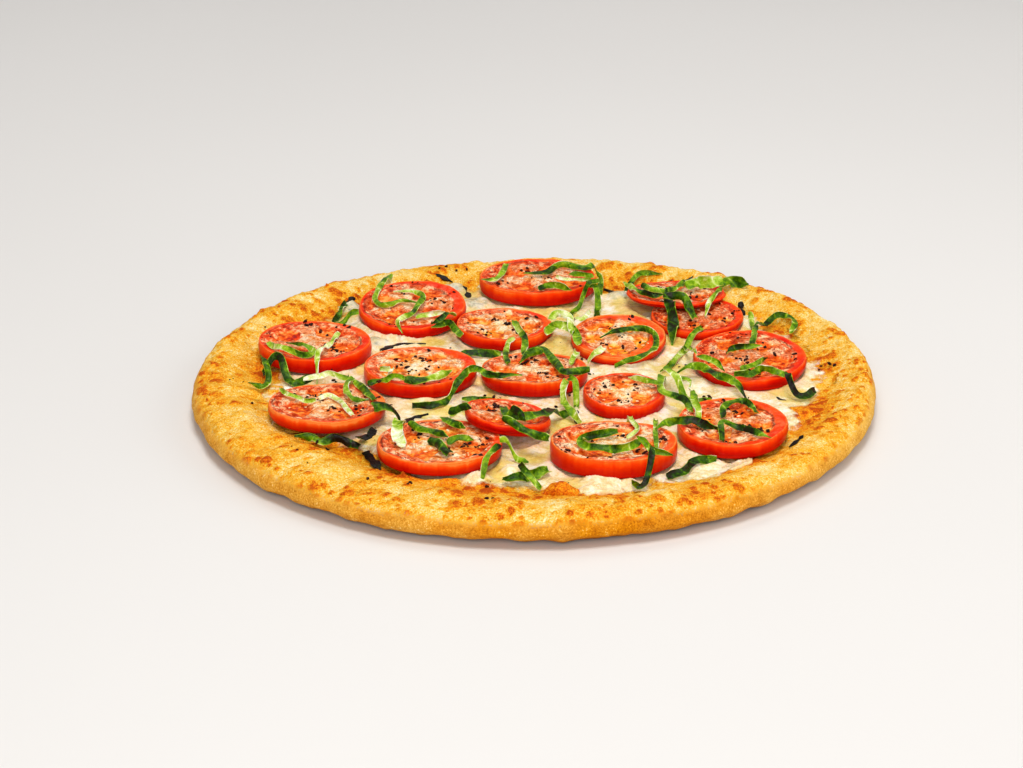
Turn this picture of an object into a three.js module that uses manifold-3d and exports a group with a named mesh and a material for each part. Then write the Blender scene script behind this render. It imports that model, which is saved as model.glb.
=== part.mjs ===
// A margherita pizza, about 254 mm across: a leavened crust with a low baked rim, melted mozzarella
// inside it, sixteen round tomato slices and shreds of basil laid over everything.
// Millimetres, +Z up, the flat underside on z = 0 and the origin under the middle of the pizza.
import * as THREE from "three";
import { mergeVertices } from "three/addons/utils/BufferGeometryUtils.js";
import Module from "manifold-3d";

const wasm = await Module();
wasm.setup();

// Crust: mean radius, and how the hand-stretched outline leaves the circle.
const RADIUS = 126.1;
const OUTLINE_WAVES = [
  { size: 1.4, lobes: 1, azimuth: -31 },
  { size: 2.4, lobes: 2, azimuth: 20 },
  { size: 1.1, lobes: 3, azimuth: 39 },
  { size: 0.65, lobes: 4, azimuth: 49 },
];
// The cheese border's mean radius and waves, and the finer waves of the cheese's own edge along it.
const BORDER = 104;
const BORDER_WAVES = [
  { size: 5, lobes: 1, azimuth: 15 },
  { size: 4, lobes: 2, azimuth: 0 },
  { size: 3, lobes: 3, azimuth: 40 },
];
const EDGE_WAVES = [
  { size: 2, lobes: 7, azimuth: -5 },
  { size: 1.2, lobes: 13, azimuth: 0 },
];
const FLOOR = 5.6; // dough under the cheese
const CREST = 11.2; // rim above the underside
const WAIST = 5; // height at which the rim is widest
const SHOULDER = 8; // width over which the rim rounds off outwards
// The underside curls up to the waist through these insets from the outline, at these heights.
const UNDERSIDE = [
  { inset: 9, height: 0 },
  { inset: 4.2, height: 1.5 },
  { inset: 1.2, height: 3.2 },
];
const RIM_FOOT = -10; // the rim's inner slope, from and to these distances from the cheese border
const RIM_HEAD = 13;
const SLOPE_STEPS = [0.8, 0.6, 0.4, 0.2, 0]; // shares of the way from its foot to its head
const ROUNDING_STEPS = [1, 0.9, 0.7, 0.35, 0]; // shares of the way over the shoulder
const SWELL = 0.55; // long and short unevenness of the rim
const RIPPLE = 0.3;
// Blisters: how many, how far inside the outline and outside the border, and their least and most
// half width and height.
const BLISTERS = 34;
const BLISTER_INSET = 3;
const BLISTER_OUTSET = 8;
const BLISTER_WIDE = [4, 8];
const BLISTER_HIGH = [0.4, 1.3];
const BLISTER_SEED = 7;
const RAYS = 108; // steps round the crust and the cheese
const BASE_RING = 60; // radius of a ring of the crust's flat floor

// Cheese, gaps and flakes.
const CHEESE = 6.9; // height of the melted cheese above the underside
const CHEESE_SKIN = 0.9; // its thickness where it runs up the rim
const CHEESE_WAVE = 0.3; // unevenness of its top
const EDGE_BEVEL = 0.8; // widths over which its edge thins out and then levels off
const EDGE_SLOPE = 4.5;
const UNDER_STEPS = [0.4, 0.7, 1]; // shares of the way up the slope to its edge
// Rings of its top: share of the way out, and rays to a step.
const CHEESE_RINGS = [
  { share: 0.85, span: 2 },
  { share: 0.72, span: 2 },
  { share: 0.58, span: 2 },
  { share: 0.44, span: 3 },
  { share: 0.3, span: 3 },
  { share: 0.15, span: 6 },
];
const GAP = 0.3; // between pieces that touch
const SLACK = 0.1; // a little more of it, where curved pieces meet
const FLAKES_PER_SLICE = 3;
const FLAKES_ON_CHEESE = 22;
const FLAKE_REACH = 0.93; // share of the cheese that has flakes
const FLAKE_SEED = 31;
const FLAKE = 1.7; // a cracked pepper flake: length, least and most share of it across, share of it high
const FLAKE_ACROSS = [0.6, 0.9];
const FLAKE_HIGH = 0.75;

// Tomato slices: middle, half width and half depth, fall to the right and to the back, thickness.
const SLICES = [
  { x: -82.9, y: 20.3, rx: 21.8, ry: 20.5, tiltX: -0.04, tiltY: 0, thick: 5.6 },
  { x: -47.3, y: 60.3, rx: 21.4, ry: 22.9, tiltX: 0, tiltY: 0.069, thick: 4.1 },
  { x: 2.6, y: 86.1, rx: 24, ry: 17.9, tiltX: 0, tiltY: 0.051, thick: 5.5 },
  { x: -10.8, y: 41.1, rx: 19, ry: 18, tiltX: 0, tiltY: -0.022, thick: 4.6 },
  { x: 33.1, y: 30.2, rx: 18.5, ry: 19.9, tiltX: 0, tiltY: 0.053, thick: 3.8 },
  { x: 0.5, y: -3.9, rx: 20, ry: 17.2, tiltX: 0, tiltY: -0.035, thick: 5.3 },
  { x: -42.1, y: -2.2, rx: 21.4, ry: 20.1, tiltX: 0, tiltY: -0.022, thick: 5.5 },
  { x: 81.7, y: 9.1, rx: 21.6, ry: 22.6, tiltX: 0, tiltY: 0.045, thick: 4.1 },
  { x: 58, y: 72, rx: 20, ry: 17, tiltX: 0, tiltY: -0.08, thick: 1.8 },
  { x: 33.1, y: -23.6, rx: 15.3, ry: 16.2, tiltX: 0, tiltY: 0.011, thick: 4.8 },
  { x: -74.2, y: -38.3, rx: 21.3, ry: 19.9, tiltX: -0.01, tiltY: -0.047, thick: 4.4 },
  { x: -33.1, y: -68.8, rx: 22.2, ry: 20.4, tiltX: 0, tiltY: -0.033, thick: 4.6 },
  { x: 27.2, y: -72.2, rx: 22.4, ry: 18.5, tiltX: 0, tiltY: -0.036, thick: 6.9 },
  { x: 70, y: -53.5, rx: 19.9, ry: 21, tiltX: 0.03, tiltY: 0.002, thick: 4.9 },
  { x: -9.4, y: -49.5, rx: 15.5, ry: 15.3, tiltX: -0.14, tiltY: -0.11, thick: 3.8 },
  { x: 65, y: 54, rx: 18.5, ry: 19.5, tiltX: 0.02, tiltY: 0, thick: 3.4 },
];
const LAID_FIRST = 15; // index of the slice that its neighbours lie on
const SLICE_SIDES = 20;
const SLICE_SEED = 100;
const TUCK = 1.1; // widths over which the skin tucks in below and rounds off above
const ROUND = 0.7;
const WALL = 3.4; // firm flesh between the skin and the seed chambers
const CHAMBER_DEPTH = 0.9;
// Rings of the cut face: share of the way out, and corners.
const FACE_RINGS = [
  { share: 0.68, sides: 20 },
  { share: 0.46, sides: 20 },
  { share: 0.24, sides: 10 },
];
const FLAKE_INSET = 2; // from the skin, for flakes on the wall
const FLAKE_MIDDLE = [0.04, 0.2]; // shares of the way out, for flakes in the middle

// Basil shreds, each cut across a leaf: width, then the points it passes over, seen from above.
const LEAF = 0.5; // leaf thickness
const LEAN = 55; // how far a shred stands up on its edge where it runs from left to right, in degrees
const SHRED_STEP = 5; // length of one straight piece of a shred
const END_WIDTH = 0.45; // share of its width at its ends, and share of its length over which it narrows
const END_LENGTH = 0.16;
const SHREDS = [
  { width: 3.1, path: [[-101, 1], [-96, 3], [-92, -3], [-88, -8], [-82, -2]] },
  { width: 2.4, path: [[-102, 6], [-99, -2], [-98, -9], [-100, -14], [-105, -11]] },
  { width: 2.3, path: [[-100, 14], [-94, 5], [-86, 1], [-82, 5], [-87, 12], [-93, 14]] },
  { width: 2.1, path: [[-74, 27], [-77, 14], [-80, 3], [-80, -9]] },
  { width: 2.3, path: [[-57, 94], [-60, 78], [-62, 63], [-58, 56], [-51, 61], [-44, 58]] },
  { width: 2.3, path: [[-55, 69], [-47, 69], [-43, 62], [-46, 51], [-52, 42], [-50, 33]] },
  { width: 2.6, path: [[-39, 38], [-33, 42], [-30, 35], [-27, 28]] },
  { width: 2.6, path: [[-69, 1], [-68, -8], [-64, -22], [-61, -29], [-57, -37]] },
  { width: 2.3, path: [[-66, -19], [-68, -26], [-66, -35], [-63, -39], [-59, -39]] },
  { width: 3, path: [[-30, -11], [-35, -17], [-41, -21], [-47, -21]] },
  { width: 2.8, path: [[-44, -28], [-36, -28], [-28, -20], [-22, -9], [-14, -16], [-4, -15]] },
  { width: 4.2, path: [[-47, -46], [-48, -60], [-46, -75]] },
  { width: 3, path: [[-84, -60], [-78, -61], [-74, -64], [-70, -61], [-65, -62], [-61, -64]] },
  { width: 3, path: [[-60, -55], [-61, -63], [-58, -68], [-56, -60]] },
  { width: 4, path: [[-11, -90], [-7, -91], [-1, -87], [5, -83]] },
  { width: 3.3, path: [[-11, -48], [-9, -56], [-3, -58], [3, -53], [8, -39], [13, -34]] },
  { width: 2.8, path: [[12, -18], [11, -28], [13, -36], [17, -43]] },
  { width: 2.8, path: [[29, -69], [21, -71], [16, -76], [18, -82], [26, -84], [33, -81], [37, -76]] },
  { width: 1.8, path: [[44, -37], [43, -56], [42, -68], [42, -81]] },
  { width: 3.1, path: [[42, -67], [49, -59], [55, -55], [61, -60], [66, -63]] },
  { width: 3, path: [[45, -88], [51, -84], [55, -76], [63, -74]] },
  { width: 2.6, path: [[49, -1], [47, -14], [47, -27], [54, -34], [56, -45]] },
  { width: 2.8, path: [[49, -5], [54, -16], [59, -25], [65, -24]] },
  { width: 3, path: [[53, 0], [61, -1], [68, -9], [74, -14], [78, -22]] },
  { width: 2.4, path: [[26, 25], [33, 31], [42, 33], [47, 27], [46, 16], [38, 9], [31, 9]] },
  { width: 2.6, path: [[48, 4], [53, 12], [58, 24], [66, 38]] },
  { width: 2.3, path: [[87, 64], [87, 48], [86, 32], [83, 16]] },
  { width: 2.4, path: [[86, 38], [91, 47], [98, 56], [103, 50], [101, 40]] },
  { width: 2.8, path: [[74, -13], [80, -12], [85, -6], [93, -11]] },
  { width: 2.3, path: [[67, -51], [68, -43], [75, -39], [79, -48]] },
  { width: 2.3, path: [[65, -70], [66, -60], [73, -62], [82, -70]] },
  { width: 2.8, path: [[57, -30], [58, -42], [58, -51]] },
  { width: 2.6, path: [[-3, 86], [6, 87], [13, 94], [22, 91], [28, 99], [28, 84]] },
  { width: 2.6, path: [[22, 77], [26, 73], [26, 60], [24, 49]] },
  { width: 2.1, path: [[27, 75], [21, 71], [16, 63], [15, 55], [18, 45]] },
  { width: 3.5, path: [[5, 30], [10, 38], [15, 34], [18, 20]] },
  { width: 3.1, path: [[7, 36], [10, 41], [14, 39], [15, 32], [15, 26]] },
  { width: 2.6, path: [[-7, 42], [-5, 32], [-3, 24], [-3, 9]] },
  { width: 3, path: [[-5, -1], [-1, 7], [4, 10], [8, 1], [12, -12], [21, -10]] },
  { width: 2.3, path: [[38, 80], [40, 90], [46, 99], [54, 98]] },
  { width: 2.6, path: [[38, 82], [41, 72], [49, 63], [56, 71], [61, 79], [66, 90]] },
  { width: 4.6, path: [[54, 59], [55, 50], [55, 40], [54, 30]] },
];

const RAD = Math.PI / 180;
const FULL_TURN = 2 * Math.PI;
const { sin, cos, sqrt, hypot, atan2, abs, min, max, PI } = Math;
const clamp = (v, low, high) => min(max(v, low), high);
const mix = (a, b, t) => a + (b - a) * t;

function smooth(from, to, v) {
  const t = clamp((v - from) / (to - from), 0, 1);
  return t * t * (3 - 2 * t);
}

// One stream of repeatable random numbers from 0 to 1.
function randomStream(seed) {
  let state = seed;
  return () => {
    state = (Math.imul(state, 1664525) + 1013904223) >>> 0;
    return state / 4294967296;
  };
}

const waves = (list, a) => list.reduce((sum, w) => sum + w.size * cos(w.lobes * (a - w.azimuth * RAD)), 0);

// Radius of the outline, of the cheese border and of the cheese's edge at azimuth a.
const outline = (a) => RADIUS + waves(OUTLINE_WAVES, a);
const border = (a) => BORDER + waves(BORDER_WAVES, a);
const cheeseEdge = (a) => border(a) + waves(EDGE_WAVES, a);

// Blisters that the oven raised on the rim, each a round bump.
const blisters = [];
const drawBlister = randomStream(BLISTER_SEED);
for (let i = 0; i < BLISTERS; i++) {
  const a = (i + drawBlister()) * (FULL_TURN / BLISTERS);
  const r = mix(border(a) + BLISTER_OUTSET, outline(a) - BLISTER_INSET, drawBlister());
  const wide = mix(...BLISTER_WIDE, drawBlister());
  const high = mix(...BLISTER_HIGH, drawBlister());
  blisters.push({ x: r * cos(a), y: r * sin(a), wide, high });
}

// The rim's uneven rise above its smooth form.
function relief(x, y, a) {
  let z = SWELL * sin(9 * a + 1.3) * cos(4 * a - 0.6) + RIPPLE * sin(17 * a + 0.11 * (x - y));
  for (const b of blisters) {
    const near = hypot(x - b.x, y - b.y) / b.wide;
    if (near < 1) z += b.high * (1 - near * near) ** 2;
  }
  return z;
}

// Height of the crust's top at radius r and azimuth a, up to the outline.
function crustTop(r, a) {
  const edge = outline(a);
  const q = border(a);
  const rim = smooth(q + RIM_FOOT, q + RIM_HEAD, r);
  const crown = FLOOR + (CREST - FLOOR) * rim + relief(r * cos(a), r * sin(a), a) * rim;
  const u = clamp((r - (edge - SHOULDER)) / SHOULDER, 0, 1);
  return WAIST + (crown - WAIST) * sqrt(1 - u * u);
}

function cheeseTop(r, a) {
  const x = r * cos(a);
  const y = r * sin(a);
  const pool = CHEESE + CHEESE_WAVE * sin(x / 6.3 + 1.2 * sin(y / 8.1)) * cos(y / 5.7);
  return max(pool, crustTop(r, a) + CHEESE_SKIN);
}

// The top of everything laid so far, on a square grid.
const GRID_STEP = 0.5;
const GRID_HALF = 132;
const GRID_SIDE = (2 * GRID_HALF) / GRID_STEP + 1;
const laid = new Float32Array(GRID_SIDE * GRID_SIDE);

const gridIndex = (v) => clamp(Math.round((v + GRID_HALF) / GRID_STEP), 0, GRID_SIDE - 1);
const laidAt = (x, y) => laid[gridIndex(y) * GRID_SIDE + gridIndex(x)];

// Calls visit(cell, x, y) for each grid cell of the square of half size "reach" round a point.
function eachCell(x, y, reach, visit) {
  for (let j = gridIndex(y - reach); j <= gridIndex(y + reach); j++)
    for (let i = gridIndex(x - reach); i <= gridIndex(x + reach); i++)
      visit(j * GRID_SIDE + i, i * GRID_STEP - GRID_HALF, j * GRID_STEP - GRID_HALF);
}

function layBase() {
  eachCell(0, 0, GRID_HALF, (cell, x, y) => {
    const r = hypot(x, y);
    const a = atan2(y, x);
    if (r > outline(a)) laid[cell] = 0;
    else laid[cell] = r < cheeseEdge(a) ? cheeseTop(r, a) : crustTop(r, a);
  });
}

// A closed surface through rings of points, from the middle of the underside outwards, up and back to
// the middle of the top. Rings run anticlockwise from above and may differ in their number of points.
function loft(rings) {
  const corners = [];
  for (let k = 0; k + 1 < rings.length; k++) {
    const low = rings[k];
    const high = rings[k + 1];
    let i = 0;
    let j = 0;
    while (i < low.length || j < high.length) {
      const stepLow = high.length === 1 || (low.length > 1 && (i + 1) / low.length <= (j + 1) / high.length);
      const a = low[i % low.length];
      const b = high[j % high.length];
      if (stepLow) corners.push(a, low[(i + 1) % low.length], b);
      else corners.push(a, high[(j + 1) % high.length], b);
      if (stepLow) i++;
      else j++;
      if (low.length === 1 && j === high.length) break;
      if (high.length === 1 && i === low.length) break;
    }
  }
  return new THREE.BufferGeometry().setFromPoints(corners);
}

// A ring of points at the given radius and height, both functions of the azimuth.
function ring(count, radius, height) {
  return Array.from({ length: count }, (_, i) => {
    const a = (i * FULL_TURN) / count;
    const r = radius(a);
    return new THREE.Vector3(r * cos(a), r * sin(a), height(r, a));
  });
}

function crustGeometry() {
  const rings = [[new THREE.Vector3(0, 0, 0)]];
  for (const { inset, height } of UNDERSIDE)
    rings.push(ring(RAYS, (a) => outline(a) - inset, () => height));
  for (const u of ROUNDING_STEPS)
    rings.push(ring(RAYS, (a) => outline(a) - SHOULDER * (1 - u), crustTop));
  for (const along of SLOPE_STEPS) {
    const inset = mix(RIM_FOOT, RIM_HEAD, along);
    rings.push(ring(RAYS, (a) => min(border(a) + inset, outline(a) - SHOULDER - 1), crustTop));
  }
  rings.push(ring(RAYS / 3, () => BASE_RING, () => FLOOR));
  rings.push([new THREE.Vector3(0, 0, FLOOR)]);
  return loft(rings);
}

function cheeseGeometry() {
  const above = (lift) => (r, a) => crustTop(r, a) + lift;
  const rings = [[new THREE.Vector3(0, 0, FLOOR + GAP)]];
  rings.push(ring(RAYS, (a) => border(a) + RIM_FOOT, above(GAP)));
  for (const way of UNDER_STEPS)
    rings.push(ring(RAYS, (a) => mix(border(a) + RIM_FOOT, cheeseEdge(a), way), above(GAP + SLACK)));
  rings.push(ring(RAYS, (a) => cheeseEdge(a) - EDGE_BEVEL, above(CHEESE_SKIN)));
  rings.push(ring(RAYS, (a) => cheeseEdge(a) - EDGE_SLOPE, cheeseTop));
  for (const { share, span } of CHEESE_RINGS)
    rings.push(ring(RAYS / span, (a) => cheeseEdge(a) * share, cheeseTop));
  rings.push([new THREE.Vector3(0, 0, cheeseTop(0, 0))]);
  return loft(rings);
}

// A closed geometry as a manifold-3d solid, and back.
function toSolid(geometry) {
  const bare = new THREE.BufferGeometry().setAttribute("position", geometry.getAttribute("position"));
  bare.setIndex(geometry.index);
  const merged = mergeVertices(bare, 1e-3);
  const mesh = new wasm.Mesh({
    numProp: 3,
    vertProperties: merged.attributes.position.array,
    triVerts: new Uint32Array(merged.index.array),
  });
  return new wasm.Manifold(mesh);
}

function fromSolid(solid) {
  const mesh = solid.getMesh();
  const geometry = new THREE.BufferGeometry();
  geometry.setAttribute("position", new THREE.BufferAttribute(mesh.vertProperties, mesh.numProp));
  return geometry.setIndex(new THREE.BufferAttribute(mesh.triVerts, 1));
}

// A cracked pepper flake, half sunk at the given point.
function flake(x, y, z, draw) {
  const shape = new THREE.OctahedronGeometry(FLAKE / 2);
  shape.scale(1, mix(...FLAKE_ACROSS, draw()), FLAKE_HIGH);
  shape.rotateZ(draw() * PI);
  shape.translate(x, y, z + SLACK);
  return toSolid(shape);
}

// A slice's outline, a touch uneven inside its ellipse, at share s of the way out.
function sliceRadius(slice, a, turn) {
  const even = 1 / hypot(cos(a) / slice.rx, sin(a) / slice.ry);
  return even * (1 - 0.008 * (1 + cos(3 * a + turn)) - 0.006 * (1 + cos(5 * a - 2 * turn)));
}

// Height of a slice's cut face below its skin edge: seed chambers round a firm middle.
function chamber(share, a, lobes, turn) {
  const across = smooth(0.25, 0.45, share) * (1 - smooth(0.72, 0.88, share));
  return -CHAMBER_DEPTH * across * smooth(0.25, 0.6, 0.5 + 0.5 * cos(lobes * a + turn));
}

// Lays a slice on what is there, and returns its solid with pepper on it.
function laySlice(slice, number) {
  const { x: cx, y: cy, rx, ry, tiltX, tiltY, thick } = slice;
  const draw = randomStream(SLICE_SEED + number);
  const turn = draw() * FULL_TURN;
  const lobes = 3 + Math.floor(draw() * 3);
  const tilt = (x, y) => tiltX * (x - cx) + tiltY * (y - cy);
  const covers = (x, y) => hypot((x - cx) / (rx + GAP), (y - cy) / (ry + GAP)) <= 1;
  const reach = max(rx, ry) + 1;
  let seat = 0;
  eachCell(cx, cy, reach, (cell, x, y) => {
    if (covers(x, y)) seat = max(seat, laid[cell] + GAP - tilt(x, y));
  });
  eachCell(cx, cy, reach, (cell, x, y) => {
    if (covers(x, y)) laid[cell] = max(laid[cell], seat + thick + tilt(x, y));
  });

  const point = (share, a, inset, z) => {
    const r = (sliceRadius(slice, a, turn) - inset) * share;
    const x = cx + r * cos(a);
    const y = cy + r * sin(a);
    return new THREE.Vector3(x, y, seat + tilt(x, y) + z);
  };
  const sliceRing = (count, share, inset, height) =>
    Array.from({ length: count }, (_, i) => {
      const a = (i * FULL_TURN) / count;
      return point(share, a, inset, height(a));
    });
  const inner = (share, count) =>
    sliceRing(count, share, 0, (a) => thick + chamber(share, a, lobes, turn));
  const rings = [
    [point(0, 0, 0, 0)],
    sliceRing(SLICE_SIDES, 1, TUCK, () => 0),
    sliceRing(SLICE_SIDES, 1, 0, () => TUCK),
    sliceRing(SLICE_SIDES, 1, 0, () => thick - ROUND),
    sliceRing(SLICE_SIDES, 1, ROUND, () => thick),
    sliceRing(SLICE_SIDES, 1, WALL, () => thick),
    ...FACE_RINGS.map(({ share, sides }) => inner(share, sides)),
    [point(0, 0, 0, thick)],
  ];
  let solid = toSolid(loft(rings));
  for (let i = 0; i < FLAKES_PER_SLICE; i++) {
    const onWall = i % 2 === 1;
    const share = onWall ? 1 : mix(...FLAKE_MIDDLE, draw());
    const spot = point(share, draw() * FULL_TURN, onWall ? FLAKE_INSET : 0, thick);
    solid = solid.add(flake(spot.x, spot.y, spot.z, draw));
  }
  return fromSolid(solid);
}

// Lays a shred along its path on what is there, and returns its solid.
function layShred(shred) {
  const { width, path } = shred;
  const curve = new THREE.CatmullRomCurve3(
    path.map(([x, y]) => new THREE.Vector3(x, y, 0)),
    false,
    "centripetal",
  );
  const count = max(4, Math.round(curve.getLength() / SHRED_STEP));
  // The cross-section at share t of the way along: where it is, and which way its width points.
  const frameAt = (t) => {
    const p = curve.getPointAt(t);
    const way = curve.getTangentAt(t);
    const lean = LEAN * RAD * way.x;
    const side = new THREE.Vector3(-way.y * cos(lean), way.x * cos(lean), sin(lean));
    const face = new THREE.Vector3(way.y * sin(lean), -way.x * sin(lean), cos(lean));
    const half = (width / 2) * mix(END_WIDTH, 1, smooth(0, END_LENGTH, min(t, 1 - t)));
    return { p, side, face, half };
  };
  // The least height of the middle of a cross-section that clears everything laid.
  const clear = (t) => {
    const { p, side, half } = frameAt(clamp(t, 0, 1));
    let need = 0;
    for (let across = -1; across <= 1.01; across += 0.25) {
      const out = across * (half + GAP);
      const x = p.x + side.x * out;
      const y = p.y + side.y * out;
      need = max(need, laidAt(x, y) + GAP + LEAF / 2 + SLACK - side.z * across * half);
    }
    return need;
  };
  const fine = 6;
  const heights = Array.from({ length: count + 1 }, (_, i) => {
    let z = 0;
    for (let k = -fine; k <= fine; k++) z = max(z, clear((i + k / fine) / count));
    return z;
  });

  const sections = heights.map((z, i) => {
    const { p, side, face, half } = frameAt(i / count);
    const corner = (s, f) =>
      new THREE.Vector3(p.x, p.y, z).addScaledVector(side, s * half).addScaledVector(face, (f * LEAF) / 2);
    return [corner(1, -1), corner(1, 1), corner(-1, 1), corner(-1, -1)];
  });
  const corners = [];
  const push = (...points) => corners.push(...points);
  for (let i = 0; i < count; i++) {
    const [a, b, c, d] = sections[i];
    const [a2, b2, c2, d2] = sections[i + 1];
    push(b, c, c2, b, c2, b2);
    push(d, a, d2, a, a2, d2);
    push(a, b, b2, a, b2, a2);
    push(c, d, d2, c, d2, c2);
  }
  const [a, b, c, d] = sections[0];
  push(a, d, c, a, c, b);
  const [a2, b2, c2, d2] = sections[count];
  push(a2, b2, c2, a2, c2, d2);

  for (let k = 0; k <= count * 12; k++) {
    const t = k / (count * 12);
    const { p, side, face, half } = frameAt(t);
    const i = min(Math.floor(t * count), count - 1);
    const z = mix(heights[i], heights[i + 1], t * count - i);
    for (let across = -1; across <= 1.01; across += 0.125) {
      const x = p.x + side.x * across * (half + GAP + SLACK);
      const y = p.y + side.y * across * (half + GAP + SLACK);
      const top = z + side.z * across * half + (LEAF / 2) * abs(face.z) + SLACK;
      eachCell(x, y, 2 * SLACK, (cell) => {
        laid[cell] = max(laid[cell], top);
      });
    }
  }
  return new THREE.BufferGeometry().setFromPoints(corners);
}

const materials = {
  crust: () => new THREE.MeshStandardMaterial({ color: 0xe0a24a, roughness: 0.85 }),
  cheese: () => new THREE.MeshStandardMaterial({ color: 0xf3e6bd, roughness: 0.35 }),
  tomato: () => new THREE.MeshStandardMaterial({ color: 0xe4552a, roughness: 0.3 }),
  basil: () => new THREE.MeshStandardMaterial({ color: 0x55781c, roughness: 0.5 }),
};

function piece(name, geometry, material) {
  const mesh = new THREE.Mesh(geometry, material);
  mesh.name = name;
  return mesh;
}

const numbered = (kind, i) => kind + "_" + String(i + 1).padStart(2, "0");

const pizza = new THREE.Group();
layBase();
pizza.add(piece("crust", crustGeometry(), materials.crust()));

let cheese = toSolid(cheeseGeometry());
const drawSpot = randomStream(FLAKE_SEED);
const underSlice = (x, y) => SLICES.some((s) => hypot((x - s.x) / (s.rx + 2), (y - s.y) / (s.ry + 2)) < 1);
for (let placed = 0; placed < FLAKES_ON_CHEESE; ) {
  const a = drawSpot() * FULL_TURN;
  const r = border(a) * sqrt(drawSpot()) * FLAKE_REACH;
  const x = r * cos(a);
  const y = r * sin(a);
  if (underSlice(x, y)) continue;
  cheese = cheese.add(flake(x, y, cheeseTop(r, a), drawSpot));
  placed++;
}
pizza.add(piece("cheese", fromSolid(cheese), materials.cheese()));

const laying = [...SLICES.keys()].sort((i, j) => (j === LAID_FIRST) - (i === LAID_FIRST));
for (const i of laying) pizza.add(piece(numbered("tomato", i), laySlice(SLICES[i], i), materials.tomato()));
SHREDS.forEach((shred, i) => {
  pizza.add(piece(numbered("basil", i), layShred(shred), materials.basil()));
});

// The bounding box is centred on the origin.
const box = new THREE.Box3().setFromObject(pizza);
pizza.position.set(-(box.min.x + box.max.x) / 2, -(box.min.y + box.max.y) / 2, 0);

export default pizza;
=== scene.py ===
"""A margherita pizza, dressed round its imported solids: baked crust, melted mozzarella, tomato slices with
seeds, basil shreds and cracked pepper. The forms repeat the part's own named sizes, in finer steps.
Lengths are millimetres in the pizza's own frame, and the last step of each piece turns them to metres."""

from functools import lru_cache

import bpy
import numpy as np
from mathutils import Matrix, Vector


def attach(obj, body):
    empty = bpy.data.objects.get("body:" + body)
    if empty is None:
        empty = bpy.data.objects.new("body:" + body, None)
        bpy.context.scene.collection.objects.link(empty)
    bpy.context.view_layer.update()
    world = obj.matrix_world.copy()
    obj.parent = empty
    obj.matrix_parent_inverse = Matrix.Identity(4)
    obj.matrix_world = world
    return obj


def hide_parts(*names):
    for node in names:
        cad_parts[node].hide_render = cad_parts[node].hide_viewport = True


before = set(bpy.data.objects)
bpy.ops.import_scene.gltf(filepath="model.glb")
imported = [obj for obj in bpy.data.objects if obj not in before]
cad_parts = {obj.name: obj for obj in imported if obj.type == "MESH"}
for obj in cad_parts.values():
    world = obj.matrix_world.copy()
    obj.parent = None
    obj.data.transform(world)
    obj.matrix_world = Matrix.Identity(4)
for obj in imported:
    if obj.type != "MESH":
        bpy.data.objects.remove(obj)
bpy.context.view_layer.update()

MM = 0.001
RAD = np.pi / 180
FULL_TURN = 2 * np.pi

# ---------------------------------------------------------------- the part's sizes
# Crust: mean radius, and how the hand-stretched outline leaves the circle, as size, lobes and azimuth.
RADIUS = 126.1
OUTLINE_WAVES = [(1.4, 1, -31), (2.4, 2, 20), (1.1, 3, 39), (0.65, 4, 49)]
# The cheese border's mean radius and waves, and the finer waves of the cheese's own edge along it.
BORDER = 104
BORDER_WAVES = [(5, 1, 15), (4, 2, 0), (3, 3, 40)]
EDGE_WAVES = [(2, 7, -5), (1.2, 13, 0)]
FLOOR = 5.6  # dough under the cheese
CREST = 11.2  # rim above the underside
WAIST = 5  # height at which the rim is widest
SHOULDER = 8  # width over which the rim rounds off outwards
FOOT_INSET = 9  # of the flat underside, from the outline
RIM_FOOT = -10  # the rim's inner slope, from and to these distances from the cheese border
RIM_HEAD = 13
SWELL = 0.55  # long and short unevenness of the rim
RIPPLE = 0.3
# Blisters: how many, how far inside the outline and outside the border, and their least and most
# half width and height.
BLISTERS = 34
BLISTER_INSET = 3
BLISTER_OUTSET = 8
BLISTER_WIDE = (4, 8)
BLISTER_HIGH = (0.4, 1.3)
BLISTER_SEED = 7
RAYS = 108  # steps round the part's crust
CHEESE = 6.9  # height of the melted cheese above the underside
CHEESE_SKIN = 0.9  # its thickness where it runs up the rim
CHEESE_WAVE = 0.3  # unevenness of its top
GAP = 0.3  # between pieces that touch
SLACK = 0.1  # a little more of it, where curved pieces meet
SLICE_SEED = 100
TUCK = 1.1  # width over which a slice's skin tucks in below
CHAMBER_DEPTH = 0.9  # of its jelly below its flesh
LEAF = 0.5  # leaf thickness
LEAN = 55  # how far a shred stands up on its edge where it runs from left to right, in degrees
SHRED_STEP = 5  # length of one straight piece of a shred
TAPER = (0.45, 0.16)  # share of its width at its ends, and share of its length over which it narrows

# Slices: middle x and y, half width, half depth, tilt along x and y, thickness.
SLICES = [
    (-82.9, 20.3, 21.8, 20.5, -0.04, 0, 5.6),
    (-47.3, 60.3, 21.4, 22.9, 0, 0.069, 4.1),
    (2.6, 86.1, 24, 17.9, 0, 0.051, 5.5),
    (-10.8, 41.1, 19, 18, 0, -0.022, 4.6),
    (33.1, 30.2, 18.5, 19.9, 0, 0.053, 3.8),
    (0.5, -3.9, 20, 17.2, 0, -0.035, 5.3),
    (-42.1, -2.2, 21.4, 20.1, 0, -0.022, 5.5),
    (81.7, 9.1, 21.6, 22.6, 0, 0.045, 4.1),
    (58, 72, 20, 17, 0, -0.08, 1.8),
    (33.1, -23.6, 15.3, 16.2, 0, 0.011, 4.8),
    (-74.2, -38.3, 21.3, 19.9, -0.01, -0.047, 4.4),
    (-33.1, -68.8, 22.2, 20.4, 0, -0.033, 4.6),
    (27.2, -72.2, 22.4, 18.5, 0, -0.036, 6.9),
    (70, -53.5, 19.9, 21, 0.03, 0.002, 4.9),
    (-9.4, -49.5, 15.5, 15.3, -0.14, -0.11, 3.8),
    (65, 54, 18.5, 19.5, 0.02, 0, 3.4),
]
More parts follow.
